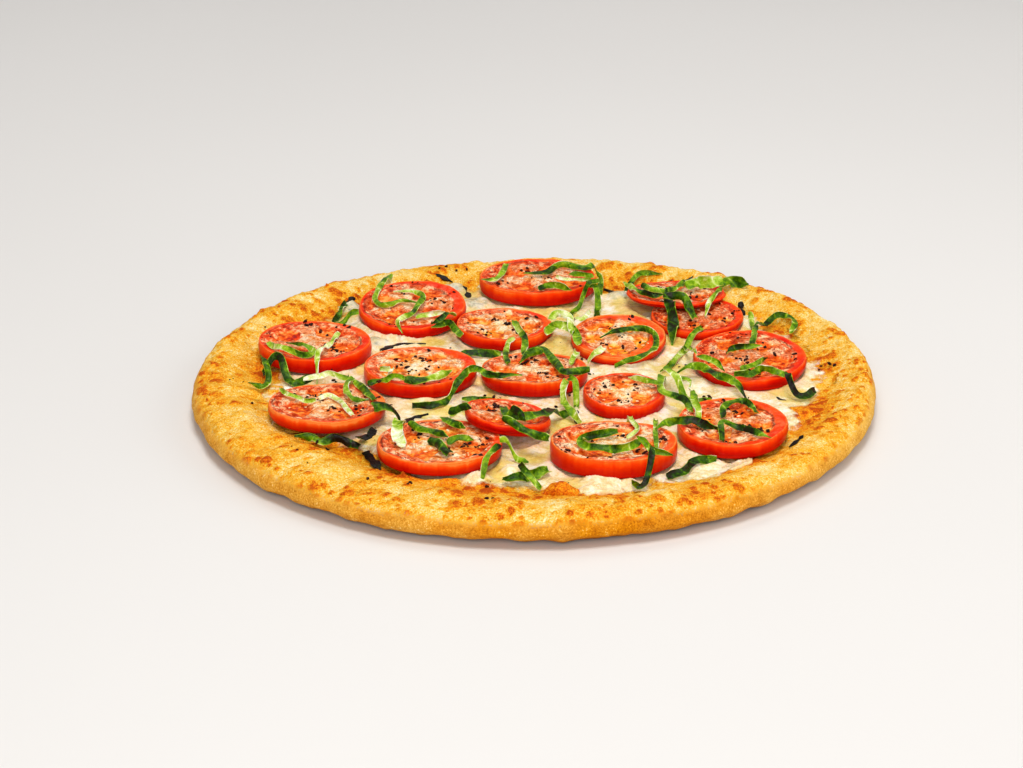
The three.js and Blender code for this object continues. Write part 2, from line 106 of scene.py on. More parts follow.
LAID_FIRST = 15  # index of the slice that its neighbours lie on

# Of each slice, from 0 to 1: how red its flesh is, how golden its jelly, and how orange, rather than deep
# red, its skin.
RIPENESS = [0.75, 0.65, 0.7, 0.35, 0.55, 0.6, 0.3, 0.9, 0.45, 0.45, 0.5, 0.4, 0.35, 0.65, 0.7, 0.95]
GOLD = [0.2, 0.3, 0.2, 0.7, 0.9, 0.3, 0.6, 0.3, 0.3, 0.5, 0.3, 0.5, 0.4, 0.5, 0.3, 0.4]
GLOW = [0.35, 0.3, 0.4, 0.4, 0.7, 0.55, 0.35, 0.15, 0.1, 0.1, 0.8, 0.75, 0.55, 0.4, 0.15, 0.2]
# How wide the band of smooth red flesh along its rim is.
BANDS = [2, 2.6, 2.6, 1.6, 3.4, 1.4, 2.4, 1.6, 2, 1.2, 1.2, 1.2, 1.4, 2.4, 1.4, 1.4]

# Pinches of pepper on each slice: share of the way out, azimuth and number of flakes.
PINCHES = [
    [(0.39, -38, 12), (0.92, 46, 3), (0.83, 102, 4), (0.67, -40, 5)],
    [(0.43, 34, 5), (0.9, 85, 2), (0.85, -112, 3), (0.88, 37, 3), (0.5, 120, 4)],
    [(0.4, 120, 4), (0.5, -60, 3), (0.7, -160, 3), (0.2, 0, 3)],
    [(0.1, 0, 6), (0.55, -140, 5), (0.55, -59, 4), (0.3, 130, 4), (0.7, 40, 2)],
    [(0.9, 70, 2), (0.4, 110, 4), (0.1, -30, 4), (0.55, -137, 4)],
    [(0.28, -65, 7), (0.56, -51, 5), (0.4, 113, 5), (0.6, 90, 4)],
    [(0.4, 79, 9), (0.32, 180, 6), (0.3, -105, 5), (0.2, -30, 6), (0.6, -144, 3)],
    [(0.88, 103, 5), (0.67, 180, 4), (0.22, -126, 9), (0.55, -90, 5), (0.76, 0, 4), (0.42, 58, 3)],
    [(0.5, 140, 4), (0.7, 60, 3), (0.3, -30, 3)],
    [(0.47, 145, 4), (0.35, 22, 4), (0.55, -104, 6), (0.65, 180, 3)],
    [(0.56, 110, 9), (0.56, 131, 5), (0.2, 125, 4), (0.25, -61, 8), (0.6, -20, 4), (0.9, -43, 3)],
    [(0.5, -5, 9), (0.74, 0, 7), (0.84, -41, 5), (0.39, -69, 4), (0.4, 136, 5), (0.7, 127, 5)],
    [(0.36, 47, 8), (0.49, 180, 6), (0.68, -38, 8), (0.82, 7, 4), (0.9, -153, 5)],
    [(0.58, -160, 9), (0.5, 85, 6), (0.34, -36, 14), (0.57, -38, 10), (0.9, 99, 4), (0.8, -93, 4)],
    [(0.5, 112, 18), (0.25, -51, 6), (0.55, 140, 8)],
    [(0.3, 100, 4), (0.6, -30, 6), (0.45, -100, 6), (0.85, 10, 3)],
]

# Shreds: width, tone from 0, wilted black, through dark and bright green to 1, the pale underside of a
# leaf, then the points passed over. These stand for the part's shreds, in its order.
SHREDS = [
    (3.1, 0.3, [(-101, 1), (-96, 3), (-92, -3), (-88, -8), (-82, -2)]),
    (2.4, 0.5, [(-102, 6), (-99, -2), (-98, -9), (-100, -14), (-105, -11)]),
    (2.3, 0.6, [(-100, 14), (-94, 5), (-86, 1), (-82, 5), (-87, 12), (-93, 14)]),
    (2.1, 0.85, [(-74, 27), (-77, 14), (-80, 3), (-80, -9)]),
    (2.3, 0.5, [(-57, 94), (-60, 78), (-62, 63), (-58, 56), (-51, 61), (-44, 58)]),
    (2.3, 0.65, [(-55, 69), (-47, 69), (-43, 62), (-46, 51), (-52, 42), (-50, 33)]),
    (2.6, 0.5, [(-39, 38), (-33, 42), (-30, 35), (-27, 28)]),
    (2.6, 0.5, [(-69, 1), (-68, -8), (-64, -22), (-61, -29), (-57, -37)]),
    (2.3, 0.6, [(-66, -19), (-68, -26), (-66, -35), (-63, -39), (-59, -39)]),
    (3, 0.55, [(-30, -11), (-35, -17), (-41, -21), (-47, -21)]),
    (2.8, 0.5, [(-44, -28), (-36, -28), (-28, -20), (-22, -9), (-14, -16), (-4, -15)]),
    (4.2, 0.75, [(-47, -46), (-48, -60), (-46, -75)]),
    (3, 0.3, [(-84, -60), (-78, -61), (-74, -64), (-70, -61), (-65, -62), (-61, -64)]),
    (3, 0.2, [(-60, -55), (-61, -63), (-58, -68), (-56, -60)]),
    (4, 0.42, [(-11, -90), (-7, -91), (-1, -87), (5, -83)]),
    (3.3, 0.45, [(-11, -48), (-9, -56), (-3, -58), (3, -53), (8, -39), (13, -34)]),
    (2.8, 0.6, [(12, -18), (11, -28), (13, -36), (17, -43)]),
    (2.8, 0.55, [(29, -69), (21, -71), (16, -76), (18, -82), (26, -84), (33, -81), (37, -76)]),
    (1.8, 0.55, [(44, -37), (43, -56), (42, -68), (42, -81)]),
    (3.1, 0.45, [(42, -67), (49, -59), (55, -55), (61, -60), (66, -63)]),
    (3, 0.42, [(45, -88), (51, -84), (55, -76), (63, -74)]),
    (2.6, 0.5, [(49, -1), (47, -14), (47, -27), (54, -34), (56, -45)]),
    (2.8, 0.65, [(49, -5), (54, -16), (59, -25), (65, -24)]),
    (3, 0.42, [(53, 0), (61, -1), (68, -9), (74, -14), (78, -22)]),
    (2.4, 0.5, [(26, 25), (33, 31), (42, 33), (47, 27), (46, 16), (38, 9), (31, 9)]),
    (2.6, 0.55, [(48, 4), (53, 12), (58, 24), (66, 38)]),
    (2.3, 0.5, [(87, 64), (87, 48), (86, 32), (83, 16)]),
    (2.4, 0.45, [(86, 38), (91, 47), (98, 56), (103, 50), (101, 40)]),
    (2.8, 0.45, [(74, -13), (80, -12), (85, -6), (93, -11)]),
    (2.3, 0.5, [(67, -51), (68, -43), (75, -39), (79, -48)]),
    (2.3, 0.4, [(65, -70), (66, -60), (73, -62), (82, -70)]),
    (2.8, 0.7, [(57, -30), (58, -42), (58, -51)]),
    (2.6, 0.42, [(-3, 86), (6, 87), (13, 94), (22, 91), (28, 99), (28, 84)]),
    (2.6, 0.45, [(22, 77), (26, 73), (26, 60), (24, 49)]),
    (2.1, 0.6, [(27, 75), (21, 71), (16, 63), (15, 55), (18, 45)]),
    (3.5, 0.6, [(5, 30), (10, 38), (15, 34), (18, 20)]),
    (3.1, 0.8, [(7, 36), (10, 41), (14, 39), (15, 32), (15, 26)]),
    (2.6, 0.55, [(-7, 42), (-5, 32), (-3, 24), (-3, 9)]),
    (3, 0.5, [(-5, -1), (-1, 7), (4, 10), (8, 1), (12, -12), (21, -10)]),
    (2.3, 0.42, [(38, 80), (40, 90), (46, 99), (54, 98)]),
    (2.6, 0.5, [(38, 82), (41, 72), (49, 63), (56, 71), (61, 79), (66, 90)]),
    (4.6, 0.4, [(54, 59), (55, 50), (55, 40), (54, 30)]),
]

# Shorter or narrower shreds, laid over those, and scraps that the oven wilted and that sank into the cheese.
SMALL_SHREDS = [
    (2.4, 0.35, [(-74, 71), (-76, 62), (-78, 55)]),
    (2.4, 0.6, [(-78, 47), (-73, 52), (-68, 53)]),
    (2.1, 0.75, [(-45, 45), (-40, 48), (-34, 51)]),
    (2.4, 0.5, [(-30, 48), (-33, 44), (-35, 41), (-39, 38)]),
    (2.3, 0.04, [(-58, 27), (-53, 32), (-48, 34), (-41, 34)]),
    (2.1, 0.8, [(-85, -8), (-79, -8), (-75, -5), (-66, -6)]),
    (1.8, 0.8, [(-92, -27), (-89, -33), (-85, -37), (-81, -40), (-78, -39)]),
    (1.8, 0.85, [(-77, -37), (-74, -34), (-70, -38), (-67, -45), (-64, -52)]),
    (2.3, 0.6, [(-60, -27), (-56, -25), (-52, -19), (-47, -22)]),
    (2.1, 0.7, [(-53, -11), (-52, -18), (-56, -17)]),
    (3, 0.55, [(-27, 19), (-20, 20), (-12, 18)]),
    (2.6, 0.45, [(-26, -22), (-20, -23), (-9, -27)]),
    (1.1, 0.6, [(-30, -36), (-27, -32), (-24, -28)]),
    (4.2, 0.42, [(-57, -47), (-53, -44), (-48, -40)]),
    (2.6, 0.42, [(-44, -56), (-40, -61), (-34, -64), (-30, -68)]),
    (3.3, 0.42, [(-36, -70), (-33, -75), (-29, -82)]),
    (2.6, 0.5, [(-30, -73), (-26, -70), (-21, -71)]),
    (2.6, 0.6, [(-33, -50), (-29, -55), (-24, -60)]),
    (3, 0.3, [(-30, -51), (-26, -53), (-22, -55)]),
    (2.3, 0.42, [(-18, -89), (-16, -83), (-14, -78), (-12, -74)]),
    (2.8, 0.5, [(-11, -62), (-6, -66), (0, -69), (5, -73)]),
    (2.3, 0.5, [(-12, -73), (-8, -72), (-2, -75)]),
    (2.3, 0.5, [(-5, -84), (-3, -90), (2, -96)]),
    (2.4, 0.5, [(13, -19), (15, -22), (16, -29)]),
    (2.8, 0.5, [(-8, -56), (-6, -58), (-3, -61)]),
    (1.7, 0.7, [(34, -41), (34, -55), (36, -65), (32, -72)]),
    (2.3, 0.5, [(35, -77), (41, -85), (47, -86)]),
    (2.3, 0.45, [(33, -91), (35, -98), (39, -92), (40, -85)]),
    (2.3, 0.6, [(35, -15), (40, -17), (46, -24)]),
    (1.6, 0.8, [(55, -2), (58, -4), (58, -11)]),
    (2.3, 0.5, [(61, 1), (65, -1), (71, -7)]),
    (1.2, 0.7, [(58, 25), (60, 14), (61, 1)]),
    (2.3, 0.45, [(73, 8), (77, 13), (87, 14)]),
    (2.1, 0.45, [(77, -5), (82, -2), (88, 5)]),
    (2.8, 0.4, [(93, -11), (95, -18), (99, -20), (104, -14)]),
    (2.3, 0.55, [(-10, 97), (-12, 86), (-15, 79), (-20, 80)]),
    (2.6, 0.5, [(3, 70), (9, 74), (16, 69)]),
    (1.6, 0.85, [(10, 77), (15, 73), (24, 78)]),
    (2.1, 0.6, [(15, 74), (20, 75), (25, 78)]),
    (1.9, 0.85, [(15, 48), (19, 42), (23, 50)]),
    (2.1, 0.6, [(-7, 24), (-9, 20), (-10, 7), (-9, -1)]),
    (2.3, 0.85, [(17, 17), (16, 6), (14, -2)]),
    (2.6, 0.8, [(27, 17), (24, 12), (21, 11)]),
    (2.4, 0.5, [(44, 70), (48, 64), (53, 63)]),
    (5.2, 0.62, [(62, 72), (68, 76), (77, 77)]),
    (4.6, 0.6, [(76, 82), (81, 86), (88, 83)]),
    (2.1, 0.6, [(76, 73), (73, 66), (68, 50)]),
    (3.5, 0.35, [(64, 47), (59, 55), (52, 57)]),
    (1.8, 0.03, [(-73, 66), (-73, 72), (-72, 77)]),
    (1.7, 0.02, [(-39, 99), (-36, 97), (-32, 95)]),
    (1.8, 0.02, [(-28, 92), (-26, 87), (-25, 82)]),
    (2.4, 0.05, [(30, 91), (34, 87), (37, 83)]),
    (2.6, 0.04, [(-47, -42), (-43, -36), (-38, -33)]),
    (1.8, 0.04, [(-59, -65), (-56, -73), (-53, -80)]),
    (1.9, 0.06, [(49, 31), (51, 44), (54, 56)]),
    (1.7, 0.06, [(84, 73), (84, 62), (82, 52)]),
    (1.7, 0.05, [(15, -43), (17, -28), (18, -14)]),
    (1, 0.06, [(89, -65), (92, -61), (95, -56)]),
    (1.1, 0.04, [(89, -18), (91, -20), (93, -21)]),
]


# ---------------------------------------------------------------- small tools
def smooth(low, high, v):
    """A soft step from 0 at low to 1 at high."""
    t = np.clip((v - low) / (high - low), 0, 1)
    return t * t * (3 - 2 * t)


def mix(a, b, t):
    """The value a share t of the way from a to b."""
    return a + (b - a) * t


def random_stream(seed):
    """The part's own stream of repeatable numbers from 0 to 1."""
    state = seed
    while True:
        state = (state * 1664525 + 1013904223) & 0xFFFFFFFF
        yield state / 4294967296


@lru_cache(maxsize=None)
def lattice(seed):
    """A seeded table of numbers from -1 to 1, which noise and spots read."""
    return np.random.default_rng(seed).uniform(-1, 1, (256, 256))


def noise(x, y, size, seed, around=None):
    """Soft seeded lumps from -1 to 1, size mm across. Where around is given, x closes on itself there."""
    table = lattice(seed)
    cells = 256
    if around is not None:
        cells = max(3, int(round(around / size)))
        x = x * (cells * size / around)
    u = np.asarray(x, float) / size
    v = np.asarray(y, float) / size + 97.3
    i = np.floor(u).astype(int)
    j = np.floor(v).astype(int)
    fu = (u - i) ** 2 * (3 - 2 * (u - i))
    fv = (v - j) ** 2 * (3 - 2 * (v - j))
    left, right = i % cells % 256, (i + 1) % cells % 256
    low, high = j % 256, (j + 1) % 256
    below = mix(table[left, low], table[right, low], fu)
    above = mix(table[left, high], table[right, high], fu)
    return mix(below, above, fv)


def linear(hex_colour):
    """An sRGB hex colour as linear RGBA."""
    parts = [int(hex_colour[i : i + 2], 16) / 255 for i in (1, 3, 5)]
    return [c / 12.92 if c <= 0.04045 else ((c + 0.055) / 1.055) ** 2.4 for c in parts] + [1.0]


def node(tree, kind, inputs=None, stops=(), **settings):
    """Adds a shader node. inputs gives each input a number, a colour or the node or output that feeds it, and
    stops gives a ramp its places and colours."""
    made = tree.nodes.new("ShaderNode" + kind)
    for key, value in settings.items():
        setattr(made, key, value)
    for key, value in (inputs or {}).items():
        if isinstance(value, bpy.types.Node):
            value = next(output for output in value.outputs if output.enabled)
        if isinstance(value, bpy.types.NodeSocket):
            tree.links.new(value, made.inputs[key])
        else:
            made.inputs[key].default_value = value
    if stops:
        ramp = made.color_ramp.elements
        while len(ramp) < len(stops):
            ramp.new(0.5)
        for element, (place, colour) in zip(ramp, stops):
            element.position = place
            element.color = linear(colour)
    return made


def new_material(name):
    """An empty material, its tree, and places on the piece in metres."""
    material = bpy.data.materials.new(name)
    material.use_nodes = True
    material.node_tree.nodes.clear()
    place = node(material.node_tree, "TexCoord")
    return material, material.node_tree, place.outputs["Object"]


def finish_with(material, skin):
    """Ends a material with its shader, from the shader's inputs."""
    shader = node(material.node_tree, "BsdfPrincipled", skin)
    node(material.node_tree, "OutputMaterial", {"Surface": shader})


def per(size):
    """A pattern's scale for features of a size in mm."""
    return 1 / (size * MM)


CRISP_EDGE = 50 * RAD  # edges of a crisp piece that bend further than this stay sharp


def mesh_piece(name, points, faces, material, replaces=(), marks=None, crisp=False):
    """A smooth-shaded mesh from points in mm, riding on the pizza. marks gives each point named numbers or
    places, which the finishes read."""
    mesh = bpy.data.meshes.new(name)
    mesh.from_pydata(((np.asarray(points, float) + SHIFT) * MM).tolist(), [], faces)
    mesh.update()
    mesh.shade_smooth()
    if crisp:
        mesh.set_sharp_from_angle(angle=CRISP_EDGE)
    for key, values in (marks or {}).items():
        values = np.asarray(values, np.float32)
        kind, field = ("FLOAT", "value") if values.size == len(points) else ("FLOAT_VECTOR", "vector")
        mesh.attributes.new(key, kind, "POINT").data.foreach_set(field, values.ravel())
    mesh.materials.append(material)
    piece = bpy.data.objects.new(name, mesh)
    bpy.context.scene.collection.objects.link(piece)
    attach(piece, "root")
    if replaces:
        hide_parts(*replaces)
    return piece


def ring_faces(rings, count):
    """Quads between rings of count points each, numbered ring by ring."""
    ring = np.arange(rings - 1)[:, None] * count
    here = np.arange(count)[None, :]
    there = (here + 1) % count
    corners = [ring + here, ring + there, ring + count + there, ring + count + here]
    return np.stack(corners, -1).reshape(-1, 4).tolist()


def closed_faces(rings, count):
    """Those quads, and a fan from each end ring to its middle. The two middles are numbered after the rings,
    the first ring's first."""
    here = np.arange(count)
    there = (here + 1) % count
    last, middle = (rings - 1) * count, rings * count + 0 * here
    fans = [np.stack([middle, there, here], -1), np.stack([last + here, last + there, middle + 1], -1)]
    return ring_faces(rings, count) + np.concatenate(fans).tolist()


# ---------------------------------------------------------------- the pizza's form
def waves(terms, a):
    """Sum of the waves of an outline at an azimuth."""
    return sum(size * np.cos(lobes * (a - azimuth * RAD)) for size, lobes, azimuth in terms)


def outline(a):
    """Radius of the crust's widest line at an azimuth."""
    return RADIUS + waves(OUTLINE_WAVES, a)


def border(a):
    """Radius to which the cheese reaches on the whole."""
    return BORDER + waves(BORDER_WAVES, a)


def cheese_edge(a):
    """Radius of the cheese's own edge, which wavers along the border."""
    return border(a) + waves(EDGE_WAVES, a)


def make_blisters():
    """Places, half widths and heights of the rim's blisters, drawn as the part draws them."""
    draw = random_stream(BLISTER_SEED)
    found = []
    for i in range(BLISTERS):
        a = (i + next(draw)) * (FULL_TURN / BLISTERS)
        r = mix(border(a) + BLISTER_OUTSET, outline(a) - BLISTER_INSET, next(draw))
        wide = mix(*BLISTER_WIDE, next(draw))
        high = mix(*BLISTER_HIGH, next(draw))
        found.append((r * np.cos(a), r * np.sin(a), wide, high))
    return found


BLISTER_LIST = make_blisters()


def relief(x, y, a):
    """The rim's uneven rise above its smooth form."""
    z = SWELL * np.sin(9 * a + 1.3) * np.cos(4 * a - 0.6) + RIPPLE * np.sin(17 * a + 0.11 * (x - y))
    for bx, by, wide, high in BLISTER_LIST:
        near = np.hypot(x - bx, y - by) / wide
        z = z + high * np.where(near < 1, 1 - near * near, 0) ** 2
    return z


def crust_top(r, a):
    """Height of the dough: flat under the cheese, up over the rim and down to its widest line."""
    edge = outline(a)
    q = border(a)
    rim = smooth(q + RIM_FOOT, q + RIM_HEAD, r)
    crown = FLOOR + (CREST - FLOOR) * rim + relief(r * np.cos(a), r * np.sin(a), a) * rim
    u = np.clip((r - (edge - SHOULDER)) / SHOULDER, 0, 1)
    return WAIST + (crown - WAIST) * np.sqrt(1 - u * u)


# The crumbs of the top are drawn on a map of two lengths: the way round the crust, and the way up over the
# shoulder and inwards over the rim.
AROUND = FULL_TURN * RADIUS
RIM_WAY = 13  # over the shoulder
RIM_WIDE = 20  # over the rim's top and inner slope


def rim_way(r, a):
    """Way in mm over the shoulder and the rim to a place on its top."""
    shoulder = outline(a) - SHOULDER
    return RIM_WAY + RIM_WIDE * (shoulder - r) / (shoulder - border(a) - RIM_FOOT)


def spots(along, s, cell, share, seed):
    """Round domes from 0 to 1. They sit on a share of the cells of a grid, cell mm wide, each drawn a little
    off its middle and a little larger or smaller."""
    table = lattice(seed)
    cells = int(round(AROUND / cell))
    u, v = along / AROUND * cells, s / cell + 60
    found = 0 * u
    for i in (-1, 0, 1):
        for j in (-1, 0, 1):
            near_u, near_v = np.floor(u).astype(int) + i, np.floor(v).astype(int) + j
            p, q = near_u % cells % 256, near_v % 256
            far = np.hypot(u - near_u - 0.5 - 0.4 * table[p, q], v - near_v - 0.5 - 0.4 * table[q, p])
            size = 0.3 + 0.16 * table[(p + 7) % 256, q]
            there = table[(p + 31) % 256, (q + 17) % 256] < 2 * share - 1
            found = np.maximum(found, there * np.clip(1 - (far / size) ** 2, 0, 1))
    return found


def crumbs(along, s):
    """By way round and over the rim: relief in mm of the crumbly top, how toasted and how heaped with crumbs
    it is, then the swell, lumps and bumps in it."""
    wander = 2.2 * noise(along, s, 30, 5, AROUND)
    swell = noise(along, 0.3 * s, 17, 1, AROUND)
    lumps = noise(along + wander, s, 7, 2, AROUND)
    bumps = noise(along, s + wander, 3.1, 3, AROUND)
    grit = noise(along, s, 1.5, 4, AROUND)
    heap = smooth(-0.4, 0.45, noise(along, s, 14, 6, AROUND) + 0.4 * lumps)
    blister = spots(along + wander, s + 0.8 * bumps, 7.5, 0.62, 61) * mix(0.35, 1, heap)
    fleck = spots(along, s + 0.5 * bumps, 4.1, 0.5, 63) * mix(0.25, 1, heap)
    cream = smooth(0.1, 0.6, noise(along, s, 9, 9, AROUND))
    rough = 0.25 * swell + 0.4 * lumps + 0.32 * bumps + 0.32 * grit + 0.7 * blister + 0.45 * fleck
    browned = np.maximum(0.54 * smooth(0, 0.6, blister), 0.58 * smooth(0, 0.5, fleck))
    toast = 0.14 + browned + 0.22 * heap - 0.18 * cream + 0.1 * bumps
    return rough, toast, heap, swell, lumps, bumps


def pool_top(x, y):
    """Height of the cheese where it lies level."""
    return CHEESE + CHEESE_WAVE * np.sin(x / 6.3 + 1.2 * np.sin(y / 8.1)) * np.cos(y / 5.7)


def cheese_top(r, a):
    """Height of the part's cheese: level, and then a skin up the rim."""
    return np.maximum(pool_top(r * np.cos(a), r * np.sin(a)), crust_top(r, a) + CHEESE_SKIN)


# The part is shifted so that its box is centred: the same shift, from the outline's own box.
ray = np.arange(RAYS) * FULL_TURN / RAYS
ray_x = outline(ray) * np.cos(ray)
ray_y = outline(ray) * np.sin(ray)
SHIFT = -np.array([(ray_x.min() + ray_x.max()) / 2, (ray_y.min() + ray_y.max()) / 2, 0.0])

# The top of everything laid so far, on a square grid.
GRID_STEP = 0.5
GRID_HALF = 132
GRID_SIDE = int(2 * GRID_HALF / GRID_STEP) + 1
grid_axis = np.arange(GRID_SIDE) * GRID_STEP - GRID_HALF
grid_x, grid_y = np.meshgrid(grid_axis, grid_axis)


def lay_base():
    """Fills the grid with the bare crust and cheese."""
    r = np.hypot(grid_x, grid_y)
    a = np.arctan2(grid_y, grid_x)
    top = np.where(r < cheese_edge(a), cheese_top(r, a), crust_top(r, a))
    return np.where(r > outline(a), 0, top)


bare = lay_base()
laid = bare


def grid_index(v):
    """The grid's row or column that is nearest to a place."""
    return np.clip(np.round((np.asarray(v) + GRID_HALF) / GRID_STEP).astype(int), 0, GRID_SIDE - 1)


def laid_at(x, y):
    """Height of all that lies at a place so far."""
    return laid[grid_index(y), grid_index(x)]


def cheese_at(x, y):
    """Height of the bare cheese, as if no slice or shred lay on it."""
    return bare[grid_index(y), grid_index(x)]


# ---------------------------------------------------------------- finishes
# The factor of a Mix is its input 0, and its two colours are 6 and 7. The values of a Math are 0, 1 and 2.
def toasted_crumb(tree, place, toast, heap):
    """Colour, height and grain of dough or cheese that dried to crumbs in the oven: cream where it kept its
    fat, gold, then orange in round freckles, thickest where heap says, and brown where toast says that it
    caught the heat."""
    grain = node(tree, "TexNoise", {"Vector": place, "Scale": per(0.65), "Detail": 2, "Roughness": 0.7})
    mottle = node(tree, "TexNoise", {"Vector": place, "Scale": per(1.9), "Detail": 3, "Roughness": 0.6})
    cloud = node(tree, "TexNoise", {"Vector": place, "Scale": per(7), "Detail": 3, "Roughness": 0.6})
    cells = node(tree, "TexVoronoi", {"Vector": place, "Scale": per(3.4), "Randomness": 1.0})
    ragged = node(tree, "Math", {0: mottle, 1: 0.5, 2: cells.outputs["Distance"]}, operation="MULTIPLY_ADD")
    dot = node(tree, "MapRange", {"Value": ragged, "From Min": 0.7, "From Max": 0.5})
    pick = node(tree, "SeparateColor", {"Color": cells.outputs["Color"]})
    luck = node(tree, "Math", {0: heap, 1: 0.7, 2: pick.outputs["Red"]}, operation="MULTIPLY_ADD")
    chosen = node(tree, "MapRange", {"Value": luck, "From Min": 0.85, "From Max": 1.05})
    freckle = node(tree, "Math", {0: dot, 1: chosen}, operation="MULTIPLY")
    toast_and_groove_shade = node(tree, "Math", {0: freckle, 1: 0.2, 2: toast}, operation="MULTIPLY_ADD")
    spotted = node(tree, "Math", {0: mottle, 1: 0.8, 2: toast_and_groove_shade}, operation="MULTIPLY_ADD")
    clouded = node(tree, "Math", {0: cloud, 1: 0.8, 2: spotted}, operation="MULTIPLY_ADD")
    crumbly = node(tree, "Math", {0: grain, 1: 2.0, 2: clouded}, operation="MULTIPLY_ADD")
    baked = node(tree, "MapRange", {"Value": crumbly, "From Min": 1.5, "From Max": 2.9})
    crumb_stops = [
        (0.0, "#fff0bc"),
        (0.16, "#fadd90"),
        (0.32, "#f6c65c"),
        (0.45, "#f2b636"),
        (0.58, "#eda31c"),
        (0.72, "#e88a10"),
        (0.86, "#de6c10"),
        (1.0, "#bc4c08"),
    ]
    colour = node(tree, "ValToRGB", {"Fac": baked}, stops=crumb_stops)
    lifted = node(tree, "Math", {0: freckle, 1: 0.5, 2: mottle}, operation="MULTIPLY_ADD")
    height = node(tree, "Math", {0: grain, 1: 0.7, 2: lifted}, operation="MULTIPLY_ADD")
    return colour, height, grain


def baked_dough():
    """Baked dough, dry and matt. Its top is a crumbly crust, cream to gold with toasted orange freckles. Its
    wall is a finer skin, deep gold with pale grains, paler on its lit sides as painted light, and darker at
    its foot, from a browned edge and painted contact shade."""
    material, tree, place = new_material("baked_dough")
    marks = ("toast", "heap", "wall", "painted_side_light", "scorch_and_contact_shade")
    toast, heap, wall, painted_side_light, scorch_and_contact_shade = (node(tree, "Attribute", attribute_name=mark) for mark in marks)
    crumb, height, grain = toasted_crumb(tree, place, toast.outputs["Fac"], heap.outputs["Fac"])
    drift = node(tree, "TexNoise", {"Vector": place, "Scale": per(5), "Detail": 3, "Roughness": 0.6})
    sifted = node(tree, "Math", {0: grain, 1: 1.8, 2: drift}, operation="MULTIPLY_ADD")
    grit = node(tree, "MapRange", {"Value": sifted, "From Min": 0.95, "From Max": 2.0})
    gold_stops = [(0.0, "#a85a02"), (0.25, "#c67002"), (0.5, "#d88404"), (0.72, "#e89a12"), (0.95, "#fdd07c")]
    gold = node(tree, "ValToRGB", {"Fac": grit}, stops=gold_stops)
    # A paler copy of the wall's gold: painted light for the sides that the lamps light.
    lit_side_stops = [(0, "#c07c1c"), (0.25, "#d89a34"), (0.5, "#e6ae48"), (0.72, "#f2c462"), (0.95, "#ffeebc")]
    painted_lit_side = node(tree, "ValToRGB", {"Fac": grit}, stops=lit_side_stops)
    side = node(tree, "Mix", {0: painted_side_light, 6: gold, 7: painted_lit_side}, data_type="RGBA")
    # Darker at the foot: a browned edge, and painted contact shade where the crust meets the table.
    scorched_and_shaded = node(tree, "Mix", {0: scorch_and_contact_shade, 6: side, 7: linear("#8a5208")}, data_type="RGBA")
    colour = node(tree, "Mix", {0: wall, 6: crumb, 7: scorched_and_shaded}, data_type="RGBA")
    calm = node(tree, "MapRange", {"Value": wall, "To Min": 1.0, "To Max": 0.45})
    raised = node(tree, "Bump", {"Height": height, "Strength": calm, "Distance": 0.9 * MM})
    matt = {"Roughness": 0.65, "IOR": 1.45, "Specular IOR Level": 0.06}
    finish_with(material, {"Base Color": colour, "Normal": raised, **matt})
    return material


def melted_mozzarella():
    """Melted mozzarella, smooth and fatty, so it is glossy and a little translucent. Oil stains it yellow and
    tomato juice pink. Where it stands up or meets the rim it dried to the same crumbs as the dough."""
    material, tree, place = new_material("melted_mozzarella")
    marks = ("toast", "heap", "rim", "grey", "juice", "oil")
    toast, heap, rim, grey, juice, oil = (node(tree, "Attribute", attribute_name=mark) for mark in marks)
    cloud = node(tree, "TexNoise", {"Vector": place, "Scale": per(5), "Detail": 4, "Roughness": 0.65})
    curd = node(tree, "TexNoise", {"Vector": place, "Scale": per(1.4), "Detail": 3, "Roughness": 0.7})
    crumb, height, _ = toasted_crumb(tree, place, toast.outputs["Fac"], heap.outputs["Fac"])
    mottled = node(tree, "Math", {0: curd, 1: 0.5, 2: cloud}, operation="MULTIPLY_ADD")
    milk_stops = [(0.56, "#fff8ea"), (0.68, "#faebc8"), (0.78, "#f2deaa"), (0.88, "#e4c884"), (1, "#fff4de")]
    milk = node(tree, "ValToRGB", {"Fac": mottled}, stops=milk_stops)
    oily_stops = [(0.5, "#f6e29c"), (0.75, "#ecd070"), (1.0, "#d8b444")]
    oily = node(tree, "ValToRGB", {"Fac": mottled}, stops=oily_stops)
    stained = node(tree, "Mix", {0: oil, 6: milk, 7: oily}, data_type="RGBA")
    juicy = node(tree, "Mix", {0: juice, 6: stained, 7: linear("#f6b890")}, data_type="RGBA")
    clear_stops = [(0.35, "#4c5448"), (0.5, "#98a08c"), (0.65, "#dcdccb")]
    clear = node(tree, "ValToRGB", {"Fac": curd}, stops=clear_stops)
    dull = node(tree, "Mix", {0: grey, 6: juicy, 7: clear}, data_type="RGBA")
    frayed = node(tree, "Math", {0: mottled, 1: 1.1, 2: rim}, operation="MULTIPLY_ADD")
    dry = node(tree, "MapRange", {"Value": frayed, "From Min": 1.1, "From Max": 1.5})
    colour = node(tree, "Mix", {0: dry, 6: dull, 7: crumb}, data_type="RGBA")
    crumbly = node(tree, "Math", {0: dry, 1: height}, operation="MULTIPLY")
    rough = node(tree, "Math", {0: curd, 1: 0.8, 2: crumbly}, operation="MULTIPLY_ADD")
    raised = node(tree, "Bump", {"Height": rough, "Strength": 1.0, "Distance": 0.6 * MM})
    gloss = node(tree, "MapRange", {"Value": dry, "To Min": 0.25, "To Max": 0.7})
    wet = node(tree, "MapRange", {"Value": dry, "To Min": 0.4, "To Max": 0.06})
    fatty = {"Roughness": gloss, "IOR": 1.45, "Specular IOR Level": wet}
    milky = {"Subsurface Weight": 0.08, "Subsurface Scale": 1.5 * MM}
    finish_with(material, {"Base Color": colour, "Normal": raised, **fatty, **milky})
    return material


